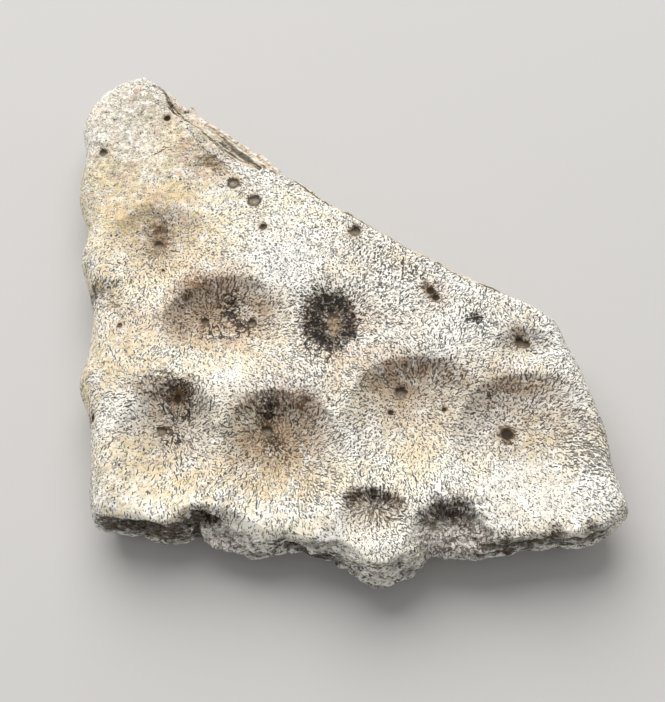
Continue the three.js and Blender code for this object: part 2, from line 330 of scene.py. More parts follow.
# %% Pits: centre x and y, radii, depth, lean of the deepest point in shares of the radii
PITS = np.array([
    (-17.0, 23.0, 5.0, 3.8, 0.5, 0.0, 0.2),
    (-22.2, 9.9, 6.6, 7.2, 1.5, 0.05, 0.4),
    (-29.4, 4.8, 4.2, 2.9, 1.5, -0.1, 0.35),
    (-14.2, 0.35, 7.7, 6.8, 2.9, -0.32, 0.42),
    (-2.6, 1.0, 5.4, 6.2, 1.1, 0.0, 0.15),
    (19.3, -1.9, 3.4, 2.6, 1.4, -0.1, 0.35),
    (-20.3, -15.0, 6.8, 8.8, 2.7, 0.15, 0.5),
    (-8.2, -16.5, 8.0, 9.1, 3.4, 0.0, 0.5),
    (7.4, -12.3, 9.2, 9.3, 2.8, -0.12, 0.55),
    (19.6, -15.2, 9.6, 10.2, 2.4, -0.32, 0.52),
    (2.2, -22.8, 4.0, 3.6, 1.7, 0.0, 0.6),
    (10.4, -25.4, 5.2, 4.8, 2.2, 0.0, 0.55),
    (-16.2, -24.2, 4.6, 3.4, 2.2, 0.0, 0.3),
    (-31.0, -9.8, 2.4, 1.7, 0.9, 0.0, 0.2),
])
print("pits:", len(PITS), "deepest", PITS[:, 4].max(), "mm")

# %% Height of the sculptured face
THICKNESS = 10.2
CROWN_CREST = np.array([-3.0, 3.0])
CROWN_FALL = 0.9  # how far the dome falls at CROWN_REACH from its crest
CROWN_REACH = 35.0
BOWL_POWER = 1.25  # above 1 rounds a pit's rim


def pit_shares(plan):
    """s for each pit and plan point: 0 at the pit's deepest point and 1 on its ellipse, along
    every ray from the deepest point. With q the place and o the lean in units of the radii, s =
    (q.o + sqrt((q.o)^2 + (1 - o.o) q.q)) / (1 - o.o)."""
    lean = PITS[:, 5:7]
    q = (plan[:, None] - PITS[:, 0:2]) / PITS[:, 2:4] - lean
    room = 1 - (lean**2).sum(1)
    across = (q * lean).sum(-1)
    return (across + np.sqrt(across**2 + room * (q**2).sum(-1))) / room


def uneven(plan):
    """The plan points moved by noise in two sizes, so that no pit keeps a drawn ellipse's rim."""
    space = as_space(plan)
    moves = [summed_noise(space, (0.5, 4.2, 40 + k), (0.3, 1.7, 42 + k)) for k in (0, 1)]
    return plan + np.column_stack(moves)


def sculpted_height(plan):
    """The crown's gentle dome less depth (1 - s^2)^BOWL_POWER for each pit."""
    fall = CROWN_FALL * ((plan - CROWN_CREST) ** 2).sum(1) / CROWN_REACH**2
    s = np.minimum(pit_shares(uneven(plan)), 1)
    return THICKNESS - fall - (PITS[:, 4] * (1 - s**2) ** BOWL_POWER).sum(1)


print("height in the middle of each pit, mm:", sculpted_height(PITS[:, :2]).round(1))


# %% Turn of the rim
def rim_turn(inset, shoulder, roundness):
    """How far the rim has turned up, from 0 at the widest line to 1 on the face. With t the share
    of the shoulder it is (1 - (1 - t)^r)^(1/r): a quarter round for a roundness r of 2, and almost
    a chamfer for r near 1."""
    t = np.clip(inset / shoulder, 0, 1)
    return (1 - (1 - t) ** roundness) ** (1 / roundness)


def upper_height(plan, inset, place):
    """The finished upper face: it droops near the edge, the back ledge takes its drop off, and
    within the shoulder's width the rim turns down to the widest line."""
    shoulder, widest, _, droop, roundness = edge_section(place)
    ledge_width, ledge_drop = ledge_at(place)
    high = sculpted_height(plan) - ledge_drop * (1 - ease((inset - ledge_width) / LEDGE_RISE))
    high = high - droop * np.clip(1 - inset / DROOP_REACH, 0, 1) ** 2
    return widest + (high - widest) * rim_turn(inset, shoulder, roundness)


print("half way in, a round rim has turned up by", rim_turn(0.5, 1.0, 2.0).round(2))

# %% [markdown]
# ## The closed surface
#
# One skin goes all the way round: a square grid bent to the outline makes the upper face, rings
# of stations carry the wall down, and a coarser grid closes the underside. A grid is better than
# a sculpted or remeshed body here, because its cells follow the outline and every cell is the
# same kind of patch.

# %% Spread a grid inside a loop
EDGE_INSET = 0.8  # the upper grid stops this far inside the outline
SHOULDER_ROWS = 18
UNDERCUT_ROWS = 22
BASE_STEP = 4  # the underside has one station for this many of the wall's
BASE_MARGIN = 1.2  # the underside's grid starts this far inside the wall's foot
NORMAL_REACH = 22  # stations on each side over which the outline's direction is averaged


def spanned(loop, cells):
    """A Coons patch inside a closed loop of 4 x cells stations: the blend of front and back, plus
    the blend of left and right, less the blend of the four corners. Row by row, left to right."""
    ends = np.vstack([loop, loop[:1]])
    south, east = ends[: cells + 1], ends[cells : 2 * cells + 1]
    north, west = ends[2 * cells : 3 * cells + 1][::-1], ends[3 * cells :][::-1]
    u = np.linspace(0, 1, cells + 1)[None, :, None]
    v = np.linspace(0, 1, cells + 1)[:, None, None]
    south_corners = (1 - u) * south[0] + u * south[-1]
    north_corners = (1 - u) * north[0] + u * north[-1]
    corners = (1 - v) * south_corners + v * north_corners
    patch = (1 - v) * south + v * north + (1 - u) * west[:, None] + u * east[:, None] - corners
    return patch.reshape(-1, loop.shape[1])


print("middle of the spanned outline, mm:", spanned(outline, GRID).mean(0).round(1))


# %% Triangles of grids, bands and fans
def grid_triangles(cells, first=0):
    """Two triangles for each cell of a spanned grid whose vertices start at `first`, facing up."""
    rows, columns = np.divmod(np.arange(cells * cells), cells)
    a = first + rows * (cells + 1) + columns
    far = a + cells + 1
    return np.vstack([np.column_stack([a, a + 1, far + 1]), np.column_stack([a, far + 1, far])])


def grid_rim(cells, first=0):
    """The vertices round a spanned grid, in the order of the outline's stations."""
    k = np.arange(cells)
    columns = np.concatenate([k, 0 * k + cells, cells - k, 0 * k])
    rows = np.concatenate([0 * k, k, 0 * k + cells, cells - k])
    return first + rows * (cells + 1) + columns


def band_triangles(above, below):
    """Two triangles for each step between two rings of equal length, facing out."""
    above_next, below_next = np.roll(above, -1), np.roll(below, -1)
    return np.vstack([
        np.column_stack([above, below, below_next]),
        np.column_stack([above, below_next, above_next]),
    ])


def fan_triangles(fine, coarse):
    """Triangles between a ring and one with a quarter of its stations, five for each coarse
    step."""
    f = np.column_stack([np.roll(fine, -k)[::BASE_STEP] for k in range(BASE_STEP + 1)])
    c, c_next = coarse, np.roll(coarse, -1)
    return np.vstack([
        np.column_stack([c, f[:, 0], f[:, 1]]),
        np.column_stack([c, f[:, 1], f[:, 2]]),
        np.column_stack([c, f[:, 2], c_next]),
        np.column_stack([c_next, f[:, 2], f[:, 3]]),
        np.column_stack([c_next, f[:, 3], f[:, 4]]),
    ])


print("triangles of the upper grid:", len(grid_triangles(GRID)))

# %% Stations, their inward directions and the ragged breaks
station_place = np.arange(RING) / GRID
chord = np.roll(outline, -NORMAL_REACH, axis=0) - np.roll(outline, NORMAL_REACH, axis=0)
inward = np.column_stack([-chord[:, 1], chord[:, 0]])
inward /= np.linalg.norm(inward, axis=1)[:, None]
shoulder, widest, draw_in, _, _ = edge_section(station_place)


def broken_share(place):
    """1 on the broken front and back, 0 on the two natural margins, eased at the corners."""
    on_front = ease((place + 0.01) / 0.05) * ease((1.0 - place) / 0.05)
    on_back = ease((place - 2.0) / 0.06) * ease((2.97 - place) / 0.06)
    return np.maximum(on_front, on_back)


station_broken = broken_share(station_place)
station_space = as_space(outline)
ragged = summed_noise(station_space, (0.22, 1.9, 11), (0.14, 0.8, 12))
ragged = ragged * station_broken + 0.05 * noise(station_space, 1.5, 13)


def ring_at(inset, height, raggedness):
    """One ring of the wall: the outline moved inwards by `inset` and by a share of the
    raggedness."""
    plan = outline + inward * (inset + ragged * raggedness)[:, None]
    return np.column_stack([plan, height])


print("stations on a break:", int((station_broken > 0.5).sum()), "of", RING)

# %% Vertices: upper grid, wall rings, underside
upper_plan = spanned(outline + inward * EDGE_INSET, GRID)
upper_inset, upper_place = nearest_edge(upper_plan)
upper = np.column_stack([upper_plan, upper_height(upper_plan, upper_inset, upper_place)])

# The shoulder's rows follow a quarter turn from the upper grid's edge to the widest line; the rows
# of the undercut draw in from there to the foot.
rings, ring_insets = [], []
start_angle = np.arccos(np.maximum(1 - EDGE_INSET / shoulder, -0.2))
for row in range(1, SHOULDER_ROWS + 1):
    angle = start_angle * (1 - row / SHOULDER_ROWS)
    inset = shoulder * (1 - np.cos(angle))
    plan = outline + inward * inset[:, None]
    height = upper_height(plan, inset, station_place)
    rings.append(ring_at(inset, height, 1 - inset / EDGE_INSET))
    ring_insets.append(inset)
for row in range(1, UNDERCUT_ROWS + 1):
    down = row / UNDERCUT_ROWS
    inset = draw_in * down**UNDERCUT_POWER
    rings.append(ring_at(inset, widest * (1 - down), 1 - 0.6 * down))
    ring_insets.append(-inset)

base_cells = GRID // BASE_STEP
base_loop = (outline + inward * (draw_in + BASE_MARGIN)[:, None])[::BASE_STEP]
base_plan = spanned(base_loop, base_cells)
base = as_space(base_plan)

vertices = np.vstack([upper, *rings, base])
wall_first = len(upper)
base_first = wall_first + RING * len(rings)
print("vertices: upper", len(upper), "wall", RING * len(rings), "underside", len(base))

# %% Triangles
loops = [grid_rim(GRID)] + [wall_first + RING * k + np.arange(RING) for k in range(len(rings))]
bands = [band_triangles(above, below) for above, below in zip(loops, loops[1:])]
base_rim = grid_rim(base_cells, base_first)
triangles = np.vstack([
    grid_triangles(GRID),
    *bands,
    fan_triangles(loops[-1], base_rim)[:, ::-1],
    grid_triangles(base_cells, base_first)[:, ::-1],
])
print("triangles:", len(triangles))

# %% Normals and what each vertex knows about the edge
rows_down = len(rings)
vertex_plan = vertices[:, :2]
vertex_place = np.concatenate([upper_place, np.tile(station_place, rows_down)])
vertex_inset = np.concatenate([upper_inset, *ring_insets])
base_distance, base_place = nearest_edge(base_plan)
vertex_place = np.concatenate([vertex_place, base_place])
vertex_inset = np.concatenate([vertex_inset, -base_distance])


def outward(points):
    """Unit normals at the vertices: the cross products of two sides of each triangle, added up
    round each vertex, so that larger triangles count for more."""
    a, b, c = (points[triangles[:, k]] for k in range(3))
    faces = np.cross(b - a, c - a)
    corners = triangles.ravel()
    spread = np.repeat(faces, 3, axis=0)
    total = np.column_stack([np.bincount(corners, spread[:, k], len(points)) for k in range(3)])
    return total / np.linalg.norm(total, axis=1)[:, None]


normals = outward(vertices)
vertex_x, vertex_y, vertex_z = vertices.T
print("normals: mean z of the upper face", round(float(normals[: len(upper), 2].mean()), 3))

# %% [markdown]
# ## Relief of the bone
#
# Worn outer bone is gently uneven. Broken bone is rough: it shows lumps, open bubbles and, at the
# back, the edges of its growth layers. Real displacement is worth its triangles here, because the
# breaks make the silhouette and catch the light at their rims. Finer relief is left to the
# material.

# %% Masks that say where the bone is broken open
def bump(t):
    """(1 - t^2)^2 between -1 and 1, and 0 outside."""
    return np.clip(1 - t * t, 0, 1) ** 2


# Pit floors that are broken through to the sponge: centre x and y, radii.
SPONGY_FLOORS = np.array([(10.9, -24.2, 4.6, 2.2), (-14.7, -24.5, 2.7, 1.9)])
on_base = np.arange(len(vertices)) >= base_first
on_back = (vertex_place > 2) & (vertex_place < 3)
on_upper = ease((normals[:, 2] - 0.1) / 0.3)
vertex_shoulder = edge_section(vertex_place)[0]
ledge_width, _ = ledge_at(vertex_place)
has_ledge = ease(ledge_width / LEDGE_FADE)
on_ledge = ease((ledge_width + LEDGE_RISE - vertex_inset) / LEDGE_RISE) * has_ledge

# Broken bone starts well down the shoulder. The underside is only worn. The steepest part of the
# front and the two spongy floors are broken wherever they lie.
past_rim = ease((0.65 * vertex_shoulder - vertex_inset) / 0.6)
broken = broken_share(vertex_place) * np.maximum(past_rim, on_ledge)
broken = broken * np.where(on_base, 0.35, 1)
floor_at = (vertex_plan[:, None] - SPONGY_FLOORS[:, 0:2]) / SPONGY_FLOORS[:, 2:4]
spongy_floor = ease((1.15 - np.linalg.norm(floor_at, axis=2).min(1)) / 0.4)
broken = np.maximum(broken, spongy_floor * (vertex_z > 4))
steep_front = ease((-normals[:, 1] - 0.6) / 0.25) * ease((-24.0 - vertex_y) / 0.8)
broken = np.maximum(broken, 0.8 * steep_front)
facing_front = ease((-normals[:, 1] - 0.22) / 0.4) * on_upper
print("share of vertices on broken bone:", round(float((broken > 0.5).mean()), 2))

# %% Where the outer bone is wrinkled: x, y, radius, strength
WRINKLED = np.array([
    (-25.0, 31.0, 6.0, 1.0), (-28.5, 22.0, 5.0, 0.9), (-19.0, 24.0, 5.0, 0.8),
    (-24.0, 16.0, 5.0, 0.6), (-28.5, -2.0, 3.0, 0.5), (-28.5, -17.0, 2.5, 0.6),
    (0.0, 12.0, 3.0, 0.4),
])


def spotted(plan, spots):
    """1 - product(1 - strength exp(-(distance / radius)^2)) over the spots."""
    away = np.linalg.norm(plan[:, None] - spots[:, 0:2], axis=2) / spots[:, 2]
    return 1 - np.prod(1 - spots[:, 3] * np.exp(-(away**2)), axis=1)


wrinkled = spotted(vertex_plan, WRINKLED)
print("share of vertices on wrinkled bone:", round(float((wrinkled > 0.5).mean()), 2))

# %% Relief of whole and broken bone
BACK_TURN = math.atan2(BACK_RIGHT[1] - TIP[1], BACK_RIGHT[0] - TIP[0])  # the way the back runs


def grained(points, turn, sizes, seed):
    """Noise drawn out along a direction: the points are turned by -`turn` about Z, and each axis
    is divided by its own size."""
    x, y, z = points.T
    along = x * math.cos(turn) + y * math.sin(turn)
    across = y * math.cos(turn) - x * math.sin(turn)
    return noise(np.column_stack([along, across, z]) / sizes, 1.0, seed)


gentle = summed_noise(vertices, (0.16, 7.0, 21), (0.07, 3.2, 22), (0.03, 1.2, 23))
lumps = summed_noise(vertices, (0.32, 2.4, 24), (0.2, 1.1, 25), (0.11, 0.6, 26))
wrinkles = 0.1 * grained(vertices, 0.5, (2.4, 0.9, 0.9), 33) + 0.06 * noise(vertices, 0.7, 34)
bubbles = ease((0.4 - hole_distance(vertices, 1.1, 27)) / 0.2)
fine_bubbles = ease((0.42 - hole_distance(vertices, 0.65, 28)) / 0.2)
spongy = lumps - 0.24 * bubbles - 0.14 * fine_bubbles
spongy = spongy + 0.26 * grained(vertices, 0.0, (3.2, 1.4, 0.8), 29)
layered = 0.2 * grained(vertices, BACK_TURN, (9.0, 0.7, 0.6), 30)
layered = layered + 0.12 * grained(vertices, BACK_TURN, (5.0, 0.6, 0.35), 31) + 0.22 * lumps
relief = gentle * np.where(on_base, 1.3, 1) + broken * np.where(on_back, layered, spongy)
relief = relief + wrinkles * wrinkled * on_upper
moved = vertices + normals * relief[:, None]
print("relief, mm: from", round(float(relief.min()), 2), "to", round(float(relief.max()), 2))

# %% Hollows in the broken front: centre x and z, radii, depth, share of black painted shade
HOLLOWS = np.array([
    (-23.2, 5.8, 6.4, 2.4, 1.6, 0.3),  # under the front left brow
    (-16.3, 7.0, 2.0, 0.9, 2.2, 1.0),  # the deep hole
    (-3.9, 4.1, 2.7, 2.2, 0.9, 0.5),  # beside the lump
    (-6.6, 5.4, 1.3, 1.0, 0.9, 0.5),
    (-17.3, 5.0, 0.9, 2.4, 0.7, 0.4),
    (20.5, 7.3, 9.5, 0.45, 0.7, 0.3),  # the seam below the thin lip
    (15.5, 6.2, 3.5, 0.4, 0.4, 0.0),
])
FRONT_DEPTH = -20.5  # the hollows reach the wall in front of this y
in_front = ease((FRONT_DEPTH - vertex_y) / 0.5)
uneven_x = vertex_x + 0.55 * noise(vertices, 1.6, 51)
uneven_z = vertex_z + 0.4 * noise(vertices, 1.3, 52)
hollow_shares = [
    in_front * bump((uneven_x - x) / half_x) * bump((uneven_z - z) / half_z)
    for x, z, half_x, half_z, _, _ in HOLLOWS
]
in_hollow = np.max(hollow_shares, axis=0)
hollow_black_shade = (HOLLOWS[:, 5:] * np.sqrt(hollow_shares)).max(0)
pushed_in = HOLLOWS[:, 4] @ hollow_shares
moved[:, 1] += pushed_in
print("hollows:", len(HOLLOWS), "deepest", round(float(pushed_in.max()), 2), "mm")

# %% [markdown]
# ## The skin unrolled
#
# Seen from above, the sides of the plate are squeezed into a thin line, and a pattern laid out in
# plan would run down them as long streaks. So the pores are laid out on the skin as if it were
# unrolled: each place on the side is pushed out from the rim by its distance along the surface. A
# UV map could do the same, but it would have seams, and the pores would break off at each of
# them.

# %% Unroll the skin of the sides
loop_points = vertices[np.array(loops)]
row_steps = np.linalg.norm(np.diff(loop_points, axis=0), axis=2)
down_wall = np.cumsum(row_steps, axis=0)

# On the shoulder, which is part of the upper grid, a place is pushed out by the difference between
# the straight way down the turn and its run in plan.
_, rim_widest, _, _, rim_roundness = edge_section(upper_place)
upper_shoulder = vertex_shoulder[: len(upper)]
turned = rim_turn(upper_inset, upper_shoulder, rim_roundness)
turn_drop = (upper[:, 2] - rim_widest) * (1 / turned - 1)
turn_run = np.maximum(upper_shoulder - upper_inset, 0)
stretch = np.hypot(turn_run, turn_drop) - turn_run
ring_ends = np.vstack([inward, inward[:1]])
inward_at = np.column_stack([
    np.interp(upper_place * GRID, np.arange(RING + 1), ring_ends[:, k]) for k in (0, 1)
])
skin = vertex_plan.copy()
skin[: len(upper)] -= inward_at * stretch[:, None]
skin[wall_first:base_first] = (skin[loops[0]] - inward * down_wall[..., None]).reshape(-1, 2)
print("skin spans, mm:", np.round(np.ptp(skin, axis=0), 1))

# %% [markdown]
# ## Blood-vessel holes
#
# Small round holes, called foramina, open in the floors of the pits. Each is a shallow dent in
# the mesh, and the material darkens it. One distance field holds them all: how far each vertex is
# from the nearest hole, in shares of that hole's radius. The darkness sorts them: up to 0.25 it
# is a pale mound, whose depth is below 0, up to 0.42 a hole filled level, and above that an open
# hole.

# %% Foramina: centre x and y, radius, depth, darkness
FORAMINA = np.array([
    (-22.1, 29.0, 0.45, 0.7, 1.0), (-29.5, 24.3, 0.55, 0.6, 0.7), (-14.0, 19.6, 0.8, 0.15, 0.3),
    (-11.5, 17.2, 0.9, 0.2, 0.3), (-10.4, 13.6, 0.5, 0.4, 0.8), (0.2, 13.0, 0.75, 0.4, 0.7),
    (-22.6, 12.1, 0.58, 0.3, 0.6), (-21.9, 8.6, 0.22, 0.2, 0.9), (-26.5, 0.9, 0.32, 0.2, 0.8),
    (-17.0, 2.8, 0.5, 0.3, 0.7), (-11.6, 2.0, 0.62, 0.3, 0.3), (-19.7, -7.8, 0.42, 0.45, 0.85),
    (-21.5, -11.2, 0.62, 0.2, 0.6), (-9.7, -11.0, 0.66, 0.3, 0.42), (5.3, -6.5, 0.72, 0.45, 0.5),
    (4.1, -9.0, 0.36, 0.3, 0.9), (10.1, -8.6, 0.28, 0.3, 0.9), (18.8, -0.6, 0.52, 0.4, 0.75),
    (19.6, -0.9, 0.42, 0.3, 0.8), (17.1, -11.6, 0.78, 0.3, 0.9), (8.7, -22.7, 0.38, 0.3, 0.5),
    (-30.0, -9.6, 0.45, 0.45, 0.9), (8.8, 5.2, 0.5, 0.3, 0.9), (9.4, 4.3, 0.45, 0.3, 0.9),
    (-2.25, 1.85, 0.84, -0.2, 0.2), (-2.15, 1.05, 0.84, -0.2, 0.2), (-2.25, 0.2, 0.5, -0.12, 0.2),
])
from_hole = np.linalg.norm(skin[:, None] - FORAMINA[:, 0:2], axis=2) / FORAMINA[:, 2]
nearest_hole = from_hole.argmin(1)
hole_reach = from_hole.min(1)
dent = FORAMINA[nearest_hole, 3] * bump(hole_reach / 1.25) * on_upper
moved[:, 2] -= dent
print("foramina:", len(FORAMINA), "deepest dent", round(float(dent.max()), 2), "mm")

# %% Stand the plate on the floor
# The underside waves a little above the floor, the foot of the wall is worn off level, and the
# lowest point of all touches.
under = moved[on_base]
moved[on_base, 2] = 0.35 + 0.3 * noise(under, 9.0, 31) + 0.1 * noise(under, 2.5, 32)
worn_foot = 0.1 + 0.09 * noise(moved, 3.0, 53)
moved[:, 2] = np.maximum(moved[:, 2], worn_foot)
moved[:, 2] -= moved[:, 2].min()
shape = moved + plan_shift
print("visual box, mm:", np.round(shape.min(0), 2), np.round(shape.max(0), 2))

# %% [markdown]
# ## The mesh
#
# `foreach_set` hands whole arrays to Blender, which is far quicker than making vertices one by
# one. Shading is smooth, because the triangles are smaller than the forms that they carry.

# %% Build the mesh
mesh = bpy.data.meshes.new("scute_bone")
mesh.vertices.add(len(shape))
mesh.vertices.foreach_set("co", (shape * MM).astype(np.float32).ravel())
mesh.loops.add(triangles.size)
mesh.loops.foreach_set("vertex_index", triangles.astype(np.int32).ravel())
mesh.polygons.add(len(triangles))
mesh.polygons.foreach_set("loop_start", np.arange(0, triangles.size, 3, dtype=np.int32))
mesh.polygons.foreach_set("use_smooth", np.ones(len(triangles), bool))
mesh.update(calc_edges=True)
mesh.validate()
bone = in_scene("scute_bone", mesh)
print("mesh:", len(mesh.vertices), "vertices,", len(mesh.polygons), "triangles")

# %% [markdown]
# ## What each part of the skin looks like
#
# Colour on old bone goes by region: pit floors are ochre, worn crests are cool white, hollows hold
# dark dirt and painted shade. We could paint this by hand, but a few soft spots, summed by a
# formula, are quicker to place and to change. They are stored as attributes, which the material
# reads and breaks up with noise, so that no edge of a spot shows.

# %% Soft spots of tint: x, y, radius, strength
# Ochre bone.
WARM = np.array([
    (-17.6, 13.6, 3.2, 0.6), (-26.8, 14.6, 4.0, 0.8), (-19.1, 26.7, 4.0, 0.6),
    (-21.3, 18.8, 5.0, 0.8), (-1.2, 8.8, 2.5, 0.5), (-27.1, -3.2, 4.5, 0.8),
    (-19.5, -17.4, 3.5, 0.9), (-4.3, -17.3, 3.0, 0.8), (-13.2, -16.2, 3.0, 0.8),
    (6.7, -14.8, 2.4, 0.7), (-0.9, -5.1, 3.0, 0.5), (19.8, -12.4, 2.4, 0.6),
    (27.6, -11.5, 1.2, 1.0), (-21.7, 9.7, 4.0, 0.8), (-11.7, -1.8, 4.0, 0.7),
    (-28.5, 8.0, 3.0, 0.8), (5.8, 8.7, 1.4, 1.0), (-30.0, -8.0, 3.0, 0.6),
    (-29.3, -15.0, 2.6, 0.5), (-12.2, -12.6, 3.0, 0.8), (-9.5, -16.8, 3.6, 0.6),
    (-16.8, -0.8, 3.0, 0.6), (-23.7, -14.5, 3.5, 0.7), (-7.1, -13.7, 3.2, 0.9),
    (-28.8, 20.2, 3.5, 0.7), (5.5, 10.2, 2.0, 0.6), (9.5, -11.8, 3.0, 0.4),
])
# Darker, browner bone in the pits.
TAN = np.array([
    (-15.8, 5.2, 4.5, 0.9), (-15.7, 1.5, 3.5, 0.7), (-8.8, -10.7, 3.8, 0.9),
    (-22.5, 14.9, 3.0, 0.7), (5.2, -5.9, 4.2, 0.9), (-17.3, 22.8, 3.0, 0.7),
    (16.4, -5.4, 3.5, 0.5), (-7.1, -8.5, 3.5, 0.7), (-2.7, 0.8, 4.5, 0.6), (2.8, -21.8, 2.6, 0.35),
    (12.0, -6.8, 3.0, 0.5), (22.0, -8.8, 4.0, 0.4), (-21.0, -8.3, 3.0, 0.7), (9.5, 4.8, 1.8, 0.8),
    (-11.0, 2.5, 3.2, 0.8), (-19.8, 2.0, 3.0, 0.8), (-10.4, -12.2, 3.4, 0.4),
    (-5.5, -11.8, 2.6, 0.5), (-26.0, 1.6, 2.6, 0.6), (1.2, 1.8, 2.4, 0.9), (-1.2, -3.0, 2.0, 0.6),
])
# Rubbed, bluish white crests. On the right margin the spots also lighten, as painted light, a
# slope that faces away from the lamp.
COOL = np.array([
    (-13.7, -6.9, 3.0, 0.8), (4.3, 5.2, 4.0, 0.9), (-6.6, 7.8, 4.5, 0.9), (-6.0, -7.2, 2.5, 0.8),
    (-16.2, -12.3, 2.5, 0.7), (-10.6, 12.4, 3.0, 0.5), (-26.8, 28.7, 3.5, 0.9),
    (-24.3, 33.0, 3.0, 0.7), (14.0, -11.0, 2.8, 0.8), (13.2, 0.2, 4.0, 0.9),
    (23.3, -1.6, 3.0, 0.8), (-1.0, -13.3, 2.8, 0.8), (7.1, -22.5, 2.5, 0.8),
    (22.9, -20.2, 4.0, 0.6), (-26.1, -9.7, 2.5, 0.7), (9.8, -1.8, 3.5, 0.7),
    (-1.5, -25.8, 3.0, 0.7), (16.5, -19.5, 3.6, 0.6), (10.5, -17.0, 2.6, 0.5),
    (3.3, -25.6, 2.6, 0.8), (24.8, -8.0, 1.8, 0.9), (25.4, -11.0, 1.4, 0.6),
    (20.5, -20.5, 3.0, 0.5),
])
print("soft spots of tint:", len(WARM) + len(TAN) + len(COOL))

# %% Soft spots of dirt and painted shade: x, y, radius, strength
# Dark clay and painted shade in hollows and below rims.
CLAY_AND_SHADE_SPOTS = np.array([
    (-20.0, -7.2, 1.4, 0.6), (-18.4, -7.0, 1.3, 0.5), (-23.2, -6.2, 1.6, 0.4),
    (-21.3, -5.5, 1.6, 0.4), (-9.5, -9.2, 1.8, 0.4), (-6.0, -8.9, 2.0, 0.32),
    (-12.9, -9.6, 1.5, 0.25), (-0.8, -20.5, 0.9, 0.5), (0.4, -19.7, 1.0, 0.7),
    (2.2, -19.6, 0.8, 0.8), (3.8, -19.9, 0.8, 0.7), (5.0, -20.9, 0.7, 0.5), (7.7, -22.3, 0.9, 0.6),
    (9.2, -21.5, 1.0, 0.65), (11.2, -21.6, 1.1, 0.75), (9.0, -20.2, 1.2, 0.4),
    (12.0, -20.3, 1.3, 0.4), (12.6, -22.1, 1.0, 0.55), (14.3, -24.2, 1.0, 0.5),
    (16.6, -24.7, 1.2, 0.5), (-16.6, -21.7, 1.0, 0.8), (-18.4, -22.4, 1.1, 0.6),
    (-30.4, -9.6, 1.1, 0.8), (-30.2, 6.3, 1.4, 0.5), (-28.3, 4.5, 1.8, 0.35),
    (-26.5, 2.4, 2.0, 0.25), (-22.4, 14.2, 1.9, 0.45), (-22.4, 12.4, 1.4, 0.35),
    (-23.4, 10.6, 1.0, 0.4), (-18.0, 6.4, 1.8, 0.4), (-19.6, 4.6, 1.4, 0.25),
    (17.1, -11.6, 1.0, 0.8), (18.6, -0.3, 1.0, 0.45), (9.0, 4.7, 0.9, 0.7), (8.2, 6.0, 0.8, 0.6),
    (26.0, -23.4, 1.4, 0.6), (22.0, -24.2, 1.6, 0.6), (18.8, -24.8, 1.4, 0.6),
    (-17.4, 23.2, 1.5, 0.5), (-15.8, 22.0, 1.2, 0.45), (-8.3, 5.0, 2.2, 0.22),
    (-8.8, -7.6, 1.6, 0.22), (-4.9, -8.1, 1.9, 0.28),
])
# Brown tint and painted shade under the upper rims of the pits.
BROWN = np.array([
    (-20.0, 4.8, 1.6, 0.6), (-18.8, 6.0, 1.6, 0.9), (-17.0, 6.4, 1.5, 0.8), (-14.8, 6.0, 1.4, 0.5),
    (-12.2, 4.9, 1.4, 0.7), (-10.6, 4.0, 1.3, 0.7), (-9.5, 3.0, 1.2, 0.6), (-13.2, -9.6, 1.5, 0.6),
    (-11.2, -9.0, 1.4, 0.7), (-8.6, -8.7, 1.3, 0.6), (-6.2, -8.7, 1.3, 0.6),
    (-4.4, -9.6, 1.4, 0.5), (-21.6, -7.6, 1.5, 0.7), (-23.6, -6.6, 1.6, 0.6),
    (-19.4, -7.4, 1.4, 0.9), (2.2, -5.9, 1.6, 0.6), (4.0, -4.9, 1.4, 0.8), (6.0, -4.2, 1.2, 0.9),
    (8.0, -4.2, 1.2, 0.95), (10.0, -4.8, 1.3, 0.9), (11.8, -5.6, 1.3, 0.7), (15.6, -6.9, 1.4, 0.6),
    (17.6, -6.4, 1.3, 0.8), (19.8, -6.3, 1.3, 0.8), (21.8, -6.6, 1.3, 0.5), (18.6, 0.2, 1.5, 0.7),
    (-22.4, 13.4, 2.7, 0.8), (-22.6, 11.0, 2.0, 0.6), (-28.4, 4.6, 1.8, 0.6),
    (-30.3, 6.0, 1.5, 0.7), (-17.2, 23.4, 1.8, 0.5), (-15.6, 21.8, 1.2, 0.4),
    (-14.2, 20.6, 2.0, 0.35), (-11.4, 18.4, 2.2, 0.25), (-18.4, 20.8, 2.0, 0.25),
    (0.0, -20.4, 1.1, 0.6), (4.4, -20.5, 1.0, 0.5), (-24.8, 9.4, 2.0, 0.3),
])
# How much brown tint and painted shade each pit's steep side gets, in the order of PITS.
PIT_BROWN_AND_SHADE = np.array([0.3, 0.35, 0.5, 0.6, 0.1, 0.5, 0.6, 0.7, 0.4, 0.5, 0.15, 0.4, 0.5, 0.4])
print("soft spots of dirt:", len(CLAY_AND_SHADE_SPOTS) + len(BROWN))

